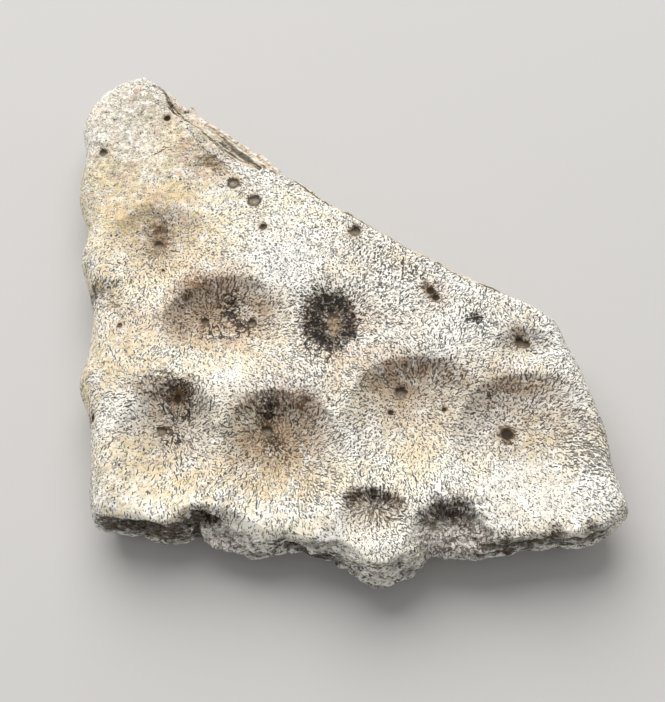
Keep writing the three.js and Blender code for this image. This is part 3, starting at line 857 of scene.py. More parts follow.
# %% Soft spots of stain: x, y, radius, strength
# Black mineral stain.
STAIN = np.array([
    (-4.0, 3.9, 1.9, 1.0), (-4.7, 1.6, 1.6, 1.0), (-4.3, -0.2, 1.3, 0.9), (-2.4, 4.1, 1.5, 0.9),
    (-0.8, 2.8, 1.3, 1.0), (-0.4, 1.4, 1.1, 1.0), (-0.6, -0.1, 1.2, 0.9), (-2.5, -1.7, 1.0, 0.9),
    (-3.3, 1.1, 0.9, 0.8), (-1.4, -0.8, 0.8, 0.8), (-1.4, 4.3, 1.0, 0.4), (-3.3, -0.6, 1.0, 0.8),
    (-18.4, -8.5, 0.9, 0.6), (-19.2, -6.8, 1.3, 0.5), (-21.3, -6.4, 1.6, 0.3),
    (-9.5, -9.4, 1.0, 0.7), (-10.1, -8.8, 1.4, 0.35), (-9.1, -12.1, 1.1, 0.85),
    (-7.6, -14.2, 0.6, 0.5), (-13.9, 4.7, 0.8, 0.75), (-14.7, 3.9, 0.7, 0.5),
    (-12.4, 1.7, 0.7, 0.5), (13.9, 1.7, 1.1, 0.9), (17.2, -12.4, 0.8, 0.7), (2.6, -19.7, 0.9, 0.5),
    (11.0, -21.7, 1.3, 0.5), (-16.4, -22.0, 1.0, 0.7), (3.0, 9.8, 1.6, 0.35), (6.6, 7.4, 1.4, 0.3),
    (8.0, 8.0, 1.2, 0.35),
])
# Black matter that clings as separate short worms.
BLOTS = np.array([
    (-21.2, -8.7, 0.7, 0.8), (-20.4, -9.6, 0.7, 0.8), (-18.7, -9.8, 0.8, 0.8),
    (-18.2, -8.3, 1.2, 0.5), (-20.4, -11.3, 0.8, 1.0), (-19.6, -12.1, 0.8, 0.9),
    (-21.0, -12.5, 0.8, 0.8), (-13.9, 4.8, 1.5, 0.75), (-14.9, 3.6, 1.2, 0.5),
    (-13.2, 2.8, 1.1, 0.6), (-12.3, 1.7, 0.9, 0.7), (-16.5, 2.2, 1.1, 0.6),
    (-15.2, 1.5, 1.2, 0.45), (-13.6, 1.2, 1.2, 0.4), (-11.8, 0.7, 0.9, 0.5),
    (-14.6, 0.0, 1.5, 0.3), (-16.9, 0.8, 0.9, 0.6), (-16.6, 3.6, 0.9, 0.4), (-9.6, -9.2, 1.5, 0.7),
    (-8.4, -13.6, 1.8, 0.5), (-4.0, 2.0, 4.2, 0.45), (-0.2, 5.0, 1.8, 0.35),
    (-2.8, -2.6, 1.6, 0.5), (-2.6, 11.2, 2.4, 0.3), (1.4, 9.4, 2.6, 0.25), (-5.0, -2.2, 1.6, 0.5),
    (17.2, -12.0, 1.6, 0.5), (4.3, -9.6, 2.0, 0.25),
])
print("soft spots of stain:", len(STAIN) + len(BLOTS))

# %% Spread the tints, the dirt and the painted shade over the skin
# The spots are laid out in plan, so they stop where the wall turns under.
skin_share = ease((normals[:, 2] + 0.5) / 0.45) * (1 - on_base)
tables = (WARM, TAN, COOL, CLAY_AND_SHADE_SPOTS, BROWN, STAIN, BLOTS)
spreads = [spotted(vertex_plan, spots) * skin_share for spots in tables]
warm, tan, cool, clay_and_shade, brown, stain_and_black_shade, blots = spreads
inside_edge = ease((vertex_inset - 1.2) / 1.5)
above_break = np.where(vertex_y < FRONT_DEPTH, ease((vertex_z - 5.4) / 1.0), 1)

# Pits get a brown tint and painted shade below their steep far side, with 1 - s^2 as how deep a
# place lies.
sunk = np.clip(1 - pit_shares(uneven(vertex_plan)) ** 2, 0, 1)
up_the_pit = ease((vertex_y[:, None] - PITS[:, 1]) / PITS[:, 3] + 0.6)
pit_brown_and_shade = np.maximum((PIT_BROWN_AND_SHADE * sunk**1.3 * up_the_pit).max(1), brown) * inside_edge * skin_share

# Painted shade darkens slopes that face the front, away from the lamp, and the hollows of the
# break, the deepest of them black. The foot of the rim above the ledge is darkened too, and that
# rim itself is rubbed pale.
rim_foot = bump((vertex_inset - ledge_width + 0.1) / 0.5) * has_ledge
rim_crest = bump((vertex_inset - ledge_width - 1.0) / 0.8) * has_ledge
clay_and_shade = np.maximum(clay_and_shade * above_break, 0.25 * facing_front * inside_edge)
clay_and_shade = np.maximum(np.maximum(clay_and_shade, in_hollow**0.4), 0.7 * rim_foot)
# The deepest hollows get black painted shade through the stain attribute.
stain_and_black_shade = np.maximum(stain_and_black_shade * above_break, hollow_black_shade)
cool = np.maximum(cool, rim_crest)
for tint, values in (("warm", warm), ("tan", tan), ("cool", cool)):
    print(tint, "covers", round(float(values[: len(upper)].mean()), 2), "of the upper face")

# %% [markdown]
# ## Which way the pores run
#
# The finest vessels open as short slits that run down into the pits. A direction without a head
# and a tail can't be averaged as an angle, because 179 and 1 degrees are almost the same. Twice
# the angle can: we sum unit vectors at twice the angle, and the material halves it again.

# %% Pore direction
deepest = PITS[:, 0:2] + PITS[:, 2:4] * PITS[:, 5:7]
to_pit = vertex_plan[:, None] - deepest
to_pit /= np.maximum(np.linalg.norm(to_pit, axis=2), 1e-6)[..., None]
pit_pull = PITS[:, 4] * np.exp(-1.2 * np.minimum(pit_shares(vertex_plan), 6) ** 2) + 1e-6
flow = np.column_stack([
    (pit_pull * (to_pit[..., 0] ** 2 - to_pit[..., 1] ** 2)).sum(1),
    (pit_pull * 2 * to_pit[..., 0] * to_pit[..., 1]).sum(1),
]) / pit_pull.sum(1)[:, None]
print("pores run to", len(deepest), "pits")

# %% Pore density, length and width: x, y, radius, strength
# Where pores are missing, and where they are short.
FEWER_PORES = np.array([
    (-25.0, 28.8, 9.0, 0.75), (-26.0, 16.7, 7.0, 0.5), (-19.0, 17.6, 7.0, 0.3),
    (-27.0, -2.4, 5.0, 0.5), (-24.0, -17.3, 6.5, 0.45), (-5.0, 11.4, 7.0, 0.1),
    (-15.0, -2.7, 5.0, 0.3), (20.0, -19.5, 6.5, 0.35), (-9.0, -18.8, 5.0, 0.4),
    (7.0, -17.5, 4.0, 0.35), (18.0, -17.5, 5.0, 0.25), (-21.5, -18.0, 4.0, 0.25),
    (-13.5, -6.0, 3.0, 0.3), (-24.0, -21.0, 2.6, 0.6), (-18.0, -22.0, 2.4, 0.5),
    (-11.0, -23.0, 3.0, 0.5), (-4.0, -23.6, 2.6, 0.4), (0.0, -25.4, 2.4, 0.5),
    (24.0, -22.6, 2.4, 0.4), (24.8, -8.6, 2.2, 0.4), (6.0, -14.0, 3.0, 0.2),
])
SHORT_PORES = np.array([
    (-6.0, 10.4, 9.0, 0.85), (-20.0, 19.6, 12.0, 0.5), (20.0, -17.3, 6.0, 0.5),
    (6.0, -8.7, 3.5, 0.6), (-9.0, -8.9, 4.0, 0.4),
])
# Where the pores are long and lie neatly side by side.
ORDERED_PORES = np.array([
    (2.5, -21.2, 2.6, 1.0), (-3.0, 1.6, 3.8, 0.9), (26.4, -14.0, 3.0, 1.0), (25.0, -9.0, 3.0, 0.6),
    (-11.0, -19.8, 4.5, 0.6), (-21.0, -18.6, 4.5, 0.6), (-5.5, -19.4, 3.0, 0.6),
    (7.0, -18.6, 3.5, 0.7), (-14.0, 5.4, 2.2, 0.8), (-9.5, -8.6, 2.4, 0.7),
])
# Where the pores are bolder; here the strength is how much wider they are.
BOLD_PORES = np.array([
    (-6.0, 10.4, 9.0, 0.17), (1.5, 9.5, 4.0, 0.3), (26.4, -14.5, 3.2, 0.4), (4.3, 5.2, 4.0, 0.2),
])
order = spotted(vertex_plan, ORDERED_PORES)
pore_share = 1 - spotted(vertex_plan, FEWER_PORES) + 0.12 * pit_brown_and_shade
pore_length = (1 - spotted(vertex_plan, SHORT_PORES)) * (1 + order)
pore_width = 1 + 0.3 * clay_and_shade + 0.2 * pit_brown_and_shade + 0.7 * stain_and_black_shade + 0.25 * order
pore_width = pore_width + spotted(vertex_plan, BOLD_PORES)
print("pore share:", np.round([pore_share.min(), pore_share.max()], 2))

# %% Store the attributes
# Pores open in whole skin and a little in the spongy floors; the plain inner face has none.
upper_share = skin_share * (1 - broken * (1 - 0.6 * spongy_floor))
beneath = (1 - skin_share) * (1 - broken)
# Painted shade for the low places of the spongy relief.
cavity_shade = ease((0.02 - spongy) / 0.35)
hole_offset = (skin - FORAMINA[nearest_hole, 0:2]) / FORAMINA[nearest_hole, 2:3]


def store(name, *columns):
    """Puts up to three numbers per vertex into one vector attribute of the bone."""
    values = np.zeros((len(vertices), 3), np.float32)
    values[:, : len(columns)] = np.column_stack(columns)
    layer = mesh.attributes.new(name, "FLOAT_VECTOR", "POINT")
    layer.data.foreach_set("vector", values.ravel())


store("flow", *flow.T, upper_share)
store("pores", pore_share, pore_length, pore_width)
store("tints", warm, tan, cool)
store("wear", clay_and_shade, stain_and_black_shade, broken)
store("hole", *hole_offset.T, FORAMINA[nearest_hole, 4])
store("edge", on_ledge, vertex_inset, wrinkled)
store("pit", pit_brown_and_shade, order, spongy_floor)
store("marks", blots, cavity_shade, beneath)
store("skin", *(skin + plan_shift[:2]).T)
print("attributes:", [layer.name for layer in mesh.attributes if not layer.name.startswith(".")])

# %% [markdown]
# ## A flat layout of the skin
#
# A model that leaves Blender carries its colours in a picture, so the closed skin needs a flat
# layout, a UV map. The upper face matters most: it lies flat at full size. The underside, smaller
# and turned half round, fills the free corner behind the slanting back, and the wall lies in four
# strips above them.

# %% Strips for the wall, one to each side of the outline, in plan millimetres
SHEET_LOW, SHEET_SIZE = np.array([-33.0, -29.5]), np.array([70.0, 81.0])
STRIP_TALL, STRIP_GAP = 6.4, 0.8
STRIP_PAIRS = [((0, 1), 44.0), ((3, 2), 51.0)]  # two sides to a row, and its top edge

side_points = np.vstack([outline, outline[:1]])
steps_round = np.linalg.norm(np.diff(side_points, axis=0), axis=1)
side_long = steps_round.reshape(4, GRID).sum(1)
strip_low, strip_wide, strip_top = np.empty(4), np.empty(4), np.empty(4)
for (first, second), top in STRIP_PAIRS:
    both = [first, second]
    strip_wide[both] = (SHEET_SIZE[0] - 3 * STRIP_GAP) * side_long[both] / side_long[both].sum()
    strip_low[first] = SHEET_LOW[0] + STRIP_GAP
    strip_low[second] = strip_low[first] + strip_wide[first] + STRIP_GAP
    strip_top[both] = top
print("strips, mm wide:", np.round(strip_wide, 1))

# %% Lay the skin out flat
# The wall's triangle corners come by row, by which of a cell's two triangles, by station and by
# corner. The tables of 0 and 1 say how far on each corner lies, along the side and down the rows.
UNDER_SCALE, UNDER_AT = 0.6, np.array([18.3, 20.2])
row_depth = np.concatenate([[0], down_wall.mean(1)]) / down_wall[-1].mean()
side, along_side = np.divmod(np.arange(RING), GRID)
corner_along = along_side[:, None] + np.array([[[0, 0, 1]], [[0, 1, 1]]])
corner_row = np.arange(rows_down)[:, None, None, None] + np.array([[[0, 1, 1]], [[0, 1, 0]]])
strip_x = strip_low[side][:, None] + corner_along / GRID * strip_wide[side][:, None]
strip_y = strip_top[side][:, None] - row_depth[corner_row] * STRIP_TALL
strips = np.stack(np.broadcast_arrays(strip_x, strip_y), -1).reshape(-1, 2)

sheet = vertex_plan[triangles.ravel()]
wall_corner = 6 * GRID**2
under_corner = wall_corner + len(strips)
sheet[wall_corner:under_corner] = strips
sheet[under_corner:] = UNDER_AT - UNDER_SCALE * sheet[under_corner:]
sheet_share = (sheet - SHEET_LOW) / SHEET_SIZE
flat_map = mesh.uv_layers.new(name="OFBake", do_init=False)
flat_map.uv.foreach_set("vector", sheet_share.astype(np.float32).ravel())
print("flat layout reaches", np.round(sheet_share.max(0), 3))

# %% [markdown]
# ## Shader arithmetic
#
# A material with this much detail is easier to read as formulas than as a drawing of nodes.
# `Wire` stands for one socket, and an expression on wires adds the Math nodes for us. Colours and
# vectors go through Mix and Vector Math nodes, because a Math node would turn a colour grey.

# %% A class for shader expressions
class Wire:
    """An output socket of a finish. Arithmetic on wires adds Math or Vector Math nodes."""

    def __init__(self, finish, socket):
        self.finish = finish
        self.socket = socket

    def __add__(self, other):
        return self.finish.reckon("ADD", self, other)

    def __sub__(self, other):
        return self.finish.reckon("SUBTRACT", self, other)

    def __rsub__(self, other):
        return self.finish.reckon("SUBTRACT", other, self)

    def __mul__(self, other):
        return self.finish.reckon("MULTIPLY", self, other)

    def __truediv__(self, other):
        return self.finish.reckon("DIVIDE", self, other)

    def __pow__(self, other):
        return self.finish.reckon("POWER", self, other)

    def __abs__(self):
        return self.finish.reckon("ABSOLUTE", self)

    __radd__ = __add__
    __rmul__ = __mul__

    def least(self, other):
        """The smaller of two numbers."""
        return self.finish.reckon("MINIMUM", self, other)

    def most(self, other):
        """The larger of two numbers."""
        return self.finish.reckon("MAXIMUM", self, other)

    def scaled(self, factor):
        """A vector times one number."""
        sockets = {0: self, "Scale": factor}
        return self.finish.add("ShaderNodeVectorMath", {"operation": "SCALE"}, sockets)

    def sibling(self, output):
        """Another output of the same node."""
        return Wire(self.finish, self.socket.node.outputs[output])

    def parts(self):
        """A vector's three numbers."""
        first = self.finish.add("ShaderNodeSeparateXYZ", {}, {0: self})
        return first, first.sibling(1), first.sibling(2)

    def rise(self, low, high):
        """An eased step from 0 at `low` to 1 at `high`, where `high` may be below `low`."""
        settings = {"interpolation_type": "SMOOTHSTEP"}
        sockets = {"Value": self, "From Min": min(low, high), "From Max": max(low, high)}
        risen = self.finish.add("ShaderNodeMapRange", settings, sockets)
        return risen if low < high else 1 - risen


print("a wire has", [name for name in vars(Wire) if not name.startswith("_")])

# %% A class for materials
class Finish:
    """A material whose nodes are added by `add`, which returns wires."""

    def __init__(self, name):
        self.material = bpy.data.materials.new(name)
        self.material.use_nodes = True
        self.nodes = self.material.node_tree.nodes
        self.sockets = self.nodes["Principled BSDF"].inputs

    def add(self, kind, settings, sockets, output=0):
        """A new node: its settings, then the values or wires of its sockets by name or number."""
        node = self.nodes.new(kind)
        for name, value in settings.items():
            setattr(node, name, value)
        for name, value in sockets.items():
            self.feed(node.inputs[name], value)
        return Wire(self, node.outputs[output])

    def feed(self, socket, value):
        """Links a wire to a socket, or sets the socket's own value."""
        if isinstance(value, Wire):
            self.material.node_tree.links.new(value.socket, socket)
        else:
            socket.default_value = value

    def reckon(self, operation, *values, output=0):
        """One Math node, or one Vector Math node where a wire carries a vector or a colour."""
        carried = {value.socket.type for value in values if isinstance(value, Wire)}
        kind = "ShaderNodeVectorMath" if carried & {"VECTOR", "RGBA"} else "ShaderNodeMath"
        return self.add(kind, {"operation": operation}, dict(enumerate(values)), output)

    def blend(self, base, *coats):
        """Coats of colour laid over a base in turn. Each is a colour and an amount, 0 to 1."""
        for over, amount in coats:
            sockets = {0: amount, 6: base, 7: over}
            base = self.add("ShaderNodeMix", {"data_type": "RGBA"}, sockets, output=2)
        return base

    def grain(self, place, size, detail, output=0):
        """A noise texture with lumps `size` across. Output 0 is a number, output 1 a colour."""
        sockets = {"Vector": place, "Scale": 1 / size, "Detail": detail}
        return self.add("ShaderNodeTexNoise", {}, sockets, output)

    def read(self, name):
        """One of the mesh's own vector attributes."""
        return self.add("ShaderNodeAttribute", {"attribute_name": name}, {}, output=1)


print("a finish has", [name for name in vars(Finish) if not name.startswith("_")])


# %% Screen colours as linear light
def shade(red, green, blue):
    """A colour given as screen values from 0 to 255, as the linear light a shader wants: v /
    12.92 in the darkest part, and ((v + 0.055) / 1.055)^2.4 above it."""
    share = np.array([red, green, blue]) / 255
    linear = np.where(share <= 0.04045, share / 12.92, ((share + 0.055) / 1.055) ** 2.4)
    return (*linear.tolist(), 1.0)


print("a screen value of 128 is", round(shade(128, 128, 128)[0], 3), "in linear light")

# %% [markdown]
# ## Bone colour
#
# The ground colour is a creamy white. Over it come the ochre and tan of the pit floors and the
# cool white of worn crests. Real bone is never even for a whole millimetre, so every tint is
# broken up by noise in several sizes, and dull patches a few tenths of a millimetre wide lie over
# them all. Stretched noises stand for the fibres of the bone.

# %% Places, attributes and noises
bone_finish = Finish("fossil_bone")
add = bone_finish.add
reckon = bone_finish.reckon
blend = bone_finish.blend
grain = bone_finish.grain
read = bone_finish.read

place = add("ShaderNodeTexCoord", {}, {}, output="Object").scaled(1 / MM)
flow_x, flow_y, upper_at = read("flow").parts()
pore_share_at, pore_length_at, pore_width_at = read("pores").parts()
warm_at, tan_at, cool_at = read("tints").parts()
clay_and_shade_at, stain_and_shade_at, broken_at = read("wear").parts()
hole_x, hole_y, hole_dark_at = read("hole").parts()
on_ledge_at, inset_at, wrinkled_at = read("edge").parts()
pit_brown_and_shade_at, order_at, spongy_at = read("pit").parts()
blots_at, cavity_shade_at, beneath_at = read("marks").parts()
skin_at = read("skin")

broad = grain(place, 9.0, 3.0)
middle = grain(place, 2.6, 4.0)
small = grain(place, 0.8, 3.0)
mottle = grain(place + (5.0, 9.0, 2.0), 0.5, 2.0)
speck = grain(place, 0.2, 2.0)
fibre = grain(place * (0.3, 1.2, 1.2), 0.5, 3.0)
cross_fibre = grain(place * (1.2, 0.3, 1.2), 0.5, 3.0)
fine_fibre = grain(place * (0.5, 1.3, 1.3), 0.28, 3.0)
drift = grain(place + (11.0, 2.0, 4.0), 2.2, 3.0)
print("places, attributes and noises:", len(bone_finish.nodes), "nodes")

# %% Ground colour
WHITE, CREAM, OCHRE = shade(252, 252, 248), shade(243, 234, 208), shade(232, 208, 154)
BUFF, BLUISH, DULL = shade(208, 180, 150), shade(230, 234, 240), shade(168, 156, 138)
BROWN_AND_SHADE, PINKISH, OLIVE = shade(142, 114, 82), shade(224, 192, 172), shade(196, 188, 138)
creamy = broad * 0.35 + middle * 0.35 + small * 0.3
dull_patches = (mottle * 0.5 + speck * 0.3 + small * 0.3 + wrinkled_at * 0.1).rise(0.54, 0.72)
colour = blend(
    WHITE,
    (CREAM, creamy.rise(0.42, 0.58)),
    (OCHRE, warm_at * (middle * 0.7 + small * 0.3).rise(0.28, 0.56)),
    (BUFF, tan_at * (middle * 0.5 + small * 0.5).rise(0.28, 0.56)),
    (BLUISH, cool_at * (middle * 0.4 + small * 0.6).rise(0.36, 0.6) * 0.8),
    # Brown tint and painted shade on the steep far sides of the pits.
    (BROWN_AND_SHADE, pit_brown_and_shade_at * (small * 0.6 + mottle * 0.5).rise(0.28, 0.62) * 0.85),
    (PINKISH, wrinkled_at * drift.rise(0.52, 0.66) * 0.7),
    (OLIVE, wrinkled_at * drift.rise(0.46, 0.36) * 0.45),
    (BUFF, beneath_at * drift.rise(0.46, 0.62) * 0.55),
    (DULL, beneath_at * fibre.most(cross_fibre).rise(0.54, 0.68) * 0.75),
    (DULL, dull_patches * (wrinkled_at * 0.2 + 0.55)),
)
print("with the ground colour:", len(bone_finish.nodes), "nodes")

# %% [markdown]
# ## Pores
#
# Each pore is a short slit with round ends, one to a Voronoi cell. The Voronoi node gives the
# middle of the cell; from it we measure along and across the pore direction. Turning and
# stretching the whole texture instead would tear it between pits, where the direction changes.
# The rims of the pores are rubbed pale, so each slit comes with a ring round it. Two sizes lie
# over each other, because one size alone looks like a print.

# %% Pore slits
SWIRL_SIZE = 0.45  # this noise bends the pores, threads and cracks alike
along_angle = reckon("ARCTAN2", flow_y, flow_x) * 0.5
swirl = grain(place, SWIRL_SIZE, 1.0, output=1) - (0.5, 0.5, 0.5)
crowding = grain(place + (2.0, 13.0, 6.0), 1.5, 2.0)


def slits(spacing, half_length, half_width, turn, shift, fewer):
    """How dark a slit is at each place and how pale its rim, both from 0 to 1. One slit to a cell
    `spacing` across, turned at random by up to `turn` radians from the pore direction. The
    distance from a slit is the length of (the along part beyond its half length, the across
    part)."""
    spot = skin_at + swirl.scaled(0.3) + (shift, -shift, 0.0)
    cell = {"Vector": spot, "Scale": 1 / spacing, "Randomness": 0.85}
    centre = add("ShaderNodeTexVoronoi", {"voronoi_dimensions": "2D"}, cell, output="Position")
    lot_turn, lot_length, lot_width = centre.sibling("Color").parts()
    angle = along_angle + (lot_turn - 0.5) * (1 - order_at * 0.75) * (2 * turn)
    cosine = reckon("COSINE", angle)
    sine = reckon("SINE", angle)
    dx, dy, _ = (spot - centre).parts()
    along = abs(dx * cosine + dy * sine)
    across = dy * cosine - dx * sine
    beyond = (along - pore_length_at * (lot_length * 0.8 + 0.2) * half_length).most(0.0)
    distance = (beyond * beyond + across * across) ** 0.5
    widths = distance / (pore_width_at * (lot_width * 0.6 + 0.7) * half_width)
    present = (pore_share_at + (crowding - 0.5) * 1.1 - lot_width - fewer).rise(-0.05, 0.05)
    dark = (1 - widths.rise(0.8, 1.2)) * present * (lot_turn * 0.35 + 0.65)
    pale = (1 - widths.rise(1.5, 2.6)) * present
    return dark, pale


fine, fine_rim = slits(
    spacing=0.4, half_length=0.15, half_width=0.06, turn=1.1, shift=0.0, fewer=-0.12
)
coarse, coarse_rim = slits(
    spacing=0.6, half_length=0.28, half_width=0.074, turn=0.8, shift=17.3, fewer=0.15
)
print("with the pore slits:", len(bone_finish.nodes), "nodes")

# %% [markdown]
# Between the slits, the skin has a finer maze of short, bent grooves. Where a noise crosses its
# middle value it draws closed loops of even width; a second noise leaves only pieces of them.

# %% Maze of grooves
winding = grain(place + swirl.scaled(0.15), 0.5, 0.0)
pieces = grain(place + (31.0, 7.0, 3.0), 0.8, 1.0)
maze = 1 - (abs(winding - 0.5) / pore_width_at).rise(0.018, 0.042)
maze = maze * pieces.rise(0.46, 0.54) * pore_share_at
pore_mask = fine.most(coarse).most(maze * 0.9) * upper_at
pore_rims = fine_rim.most(coarse_rim) * upper_at * (1 - broken_at)
print("with the maze:", len(bone_finish.nodes), "nodes")

# %% [markdown]
# ## Layers, threads and cracks
#
# The skin bone grew in thin layers, and the back is broken along them. Their edges show on the
# ledge as fine lines that run with the rim, so we stretch a noise along the break and squeeze it
# across. It reads each vertex's distance from the outline, which follows the rim wherever that
# bends.

# %% Layers of the back ledge
LAYER_PALE, LAYER_DARK, LAYER_TAN = shade(236, 231, 218), shade(66, 62, 50), shade(216, 198, 176)
ALONG_BACK = (math.cos(BACK_TURN), math.sin(BACK_TURN), 0.0)


def joined(x, y, z):
    """A vector made of three numbers."""
    return add("ShaderNodeCombineXYZ", {}, {0: x, 1: y, 2: z})


along_back = reckon("DOT_PRODUCT", place, ALONG_BACK, output="Value")
_, _, place_z = place.parts()
layer_place = joined(along_back * 0.16, inset_at * 3.4 + (small - 0.5) * 0.9, place_z * 2.0)
layer_lines = grain(layer_place, 1.0, 2.0)
near_rim = inset_at.rise(0.4, 1.3)
layer_specks = (mottle * 0.5 + speck * 0.5).rise(0.53, 0.6) * (1 - near_rim * 0.7)
layer_colour = blend(
    LAYER_PALE,
    (LAYER_TAN, (small * 0.5 + mottle * 0.5).rise(0.42, 0.58)),
    (LAYER_DARK, layer_lines.rise(0.42, 0.53) * near_rim * 0.9),
    (LAYER_DARK, layer_specks * 0.7),
)
print("with the layers:", len(bone_finish.nodes), "nodes")

# %% [markdown]
# Minerals creep along the vessels of the bone, so some stains spread as threads from a centre. A
# noise that changes quickly round the centre and slowly away from it draws just such threads. Two
# pits by the front carry half a fan of dark grooves, made the same way.

# %% Threads that spread from a centre
STAIN_CENTRE, FLOOR_FAN, UPPER_FAN = (-2.9, 1.8), (2.4, -19.6), (11.3, -22.3)


def offset_from(plan_point, bend):
    """The way in plan from a point to each place, with the places bent by the swirl."""
    start = (plan_point[0] + plan_shift[0], plan_point[1] + plan_shift[1], 0.0)
    return (place + swirl.scaled(bend) - start) * (1.0, 1.0, 0.0)


def threads(centre, spokes):
    """A noise that changes quickly round a centre and slowly away from it, read at (direction x
    spokes, distance / 3); the distance from that centre; and the offset in y."""
    offset = offset_from(centre, 0.5)
    reach = reckon("LENGTH", offset, output="Value")
    round_it = reckon("NORMALIZE", offset).scaled(spokes)
    spread = grain(round_it + joined(0.0, 0.0, reach / 3), 1.0, 1.0)
    _, offset_y, _ = offset.parts()
    return spread, reach, offset_y


def half_fan(centre, spokes, outer, *side):
    """Threads from near a centre out to `outer`, on the side of it where y eases up between two
    ends."""
    spread, reach, offset_y = threads(centre, spokes)
    ends = reach.rise(0.5, 1.0) * reach.rise(outer, outer * 0.67)
    return spread.rise(0.5, 0.58) * ends * offset_y.rise(*side) * (1 - beneath_at)


stain_threads, stain_reach, _ = threads(STAIN_CENTRE, 4.5)
floor_fan = half_fan(FLOOR_FAN, 7.0, 3.9, 0.4, -0.6)
upper_fan = half_fan(UPPER_FAN, 6.0, 4.2, -0.6, 0.4)
print("with the threads:", len(bone_finish.nodes), "nodes")

# %% [markdown]
# A few cracks and scratches cross the skin. Each is a straight line in the table; the swirl that
# bends the pores bends it too, so that it doesn't look ruled. The oldest, wrinkled bone at the
# left carries hair lines, which a noise draws as the maze is drawn.

# %% Cracks and scratches: two ends, half width and strength
CRACKS = [
    ((-23.4, 23.6), (-22.2, 24.6), 0.09, 0.9), ((-13.0, 19.5), (-13.2, 17.9), 0.06, 0.7),
    ((9.4, 6.3), (8.8, 5.4), 0.12, 0.8), ((5.7, 9.5), (5.6, 7.1), 0.06, 0.8),
    ((5.6, 7.1), (5.2, 5.7), 0.06, 0.8), ((5.2, 5.7), (2.5, 5.7), 0.05, 0.5),
    ((-19.8, 27.9), (-18.0, 25.0), 0.06, 0.6), ((-18.0, 25.0), (-14.6, 22.0), 0.07, 0.6),
    ((-29.5, 25.2), (-31.2, 26.4), 0.20, 0.5),
]


def crack(start, end, half_width, strength):
    """How dark a crack is: the distance to the segment, at the foot of the perpendicular kept
    within it, compared with the half width."""
    step = np.subtract(end, start)
    offset = offset_from(start, 0.7)
    along = reckon("DOT_PRODUCT", offset, (*(step / (step @ step)), 0.0), output="Value")
    along = along.most(0.0).least(1.0)
    foot = joined(along * step[0], along * step[1], 0.0)
    away = reckon("LENGTH", offset - foot, output="Value")
    return (1 - (away / half_width).rise(0.6, 1.4)) * (1 - beneath_at) * strength


cracked = crack(*CRACKS[0])
for one in CRACKS[1:]:
    cracked = cracked.most(crack(*one))
hair_lines = 1 - abs(grain(place + (3.0, 1.0, 8.0), 1.3, 3.0) - 0.5).rise(0.006, 0.022)
hair_lines = hair_lines * pieces.rise(0.48, 0.56) * wrinkled_at
print("with", len(CRACKS), "cracks:", len(bone_finish.nodes), "nodes")

# %% [markdown]
# ## Broken bone
#
# The front break shows the inside of the bone: fibrous and streaked where it split, and a lilac
# sponge with worm-like walls where it broke through bubbles. The attribute that says where bone
# is broken has soft edges, so noise frays them before the broken colour is laid on.

# %% Colour of the breaks, laid over hair lines and rubbed rims
HAIR, RUBBED = shade(104, 90, 74), shade(253, 253, 250)
BREAK_PALE, BREAK_DARK = shade(248, 247, 240), shade(66, 61, 54)
LILAC, WORM = shade(240, 235, 230), shade(92, 78, 68)
strata = grain(place * (0.35, 0.8, 1.4), 1.1, 2.0)
worms = 1 - abs(grain(place + swirl.scaled(0.3), 0.9, 1.0) - 0.5).rise(0.02, 0.06)
sponge_holes = (mottle - 0.3) * 1.2 * speck.rise(0.5, 0.6)
break_colour = blend(
    BREAK_DARK,
    (BREAK_PALE, (small * 0.35 + speck * 0.2 + fine_fibre * 0.45).rise(0.41, 0.54)),
    (BREAK_DARK, strata.rise(0.54, 0.66) * 0.55),
    (blend(LILAC, (WORM, worms.most(sponge_holes) * 0.8)), spongy_at),
    # Painted shade in the low places of broken, spongy bone.
    (BREAK_DARK, cavity_shade_at * (0.42 - spongy_at * 0.25)),
    (layer_colour, on_ledge_at),
)
frayed = broken_at + (small - 0.5) * 1.2 + (mottle - 0.5) * 0.6
colour = blend(
    colour,
    (HAIR, hair_lines * 0.6),
    (RUBBED, pore_rims * (0.6 - pit_brown_and_shade_at * 0.45 - tan_at * 0.15).most(0.0)),
    (break_colour, frayed.rise(0.25, 0.75) * broken_at.rise(0.0, 0.3) * 0.95),
)
print("with the breaks:", len(bone_finish.nodes), "nodes")

# %% [markdown]
# ## Dirt, painted shade and stain
#
# Dark clay and painted shade sit in the hollows, below the rims and on slopes that face the front,
# one pit is stained black, and black matter clings to some pit floors in separate short worms. All
# three are thresholds: a soft spot's strength plus noise is compared with a limit, so a strong
# place is covered, a weak one is speckled, and no edge is smooth. The pores are filled last,
# darker where the stain is.

# %% Dirt and painted shade, stain, worms and pores
DIRT_AND_SHADE, BLACK, SMUDGE = shade(74, 58, 43), shade(25, 24, 23), shade(140, 126, 112)
PORE, RUST, GROOVE = shade(28, 24, 19), shade(108, 74, 50), shade(74, 54, 42)
# Clay, and painted shade on front-facing slopes, in hollows and at the foot of the back rim.
dirt_and_shade_amount = clay_and_shade_at * 1.3 + (mottle - 0.5) * 0.6
dirt_and_shade_amount = dirt_and_shade_amount + (fibre - 0.5) * 3.4 * clay_and_shade_at + (speck - 0.5) * 0.5
tangle = abs(grain(place + swirl.scaled(0.4), 0.55, 1.0) - 0.5)
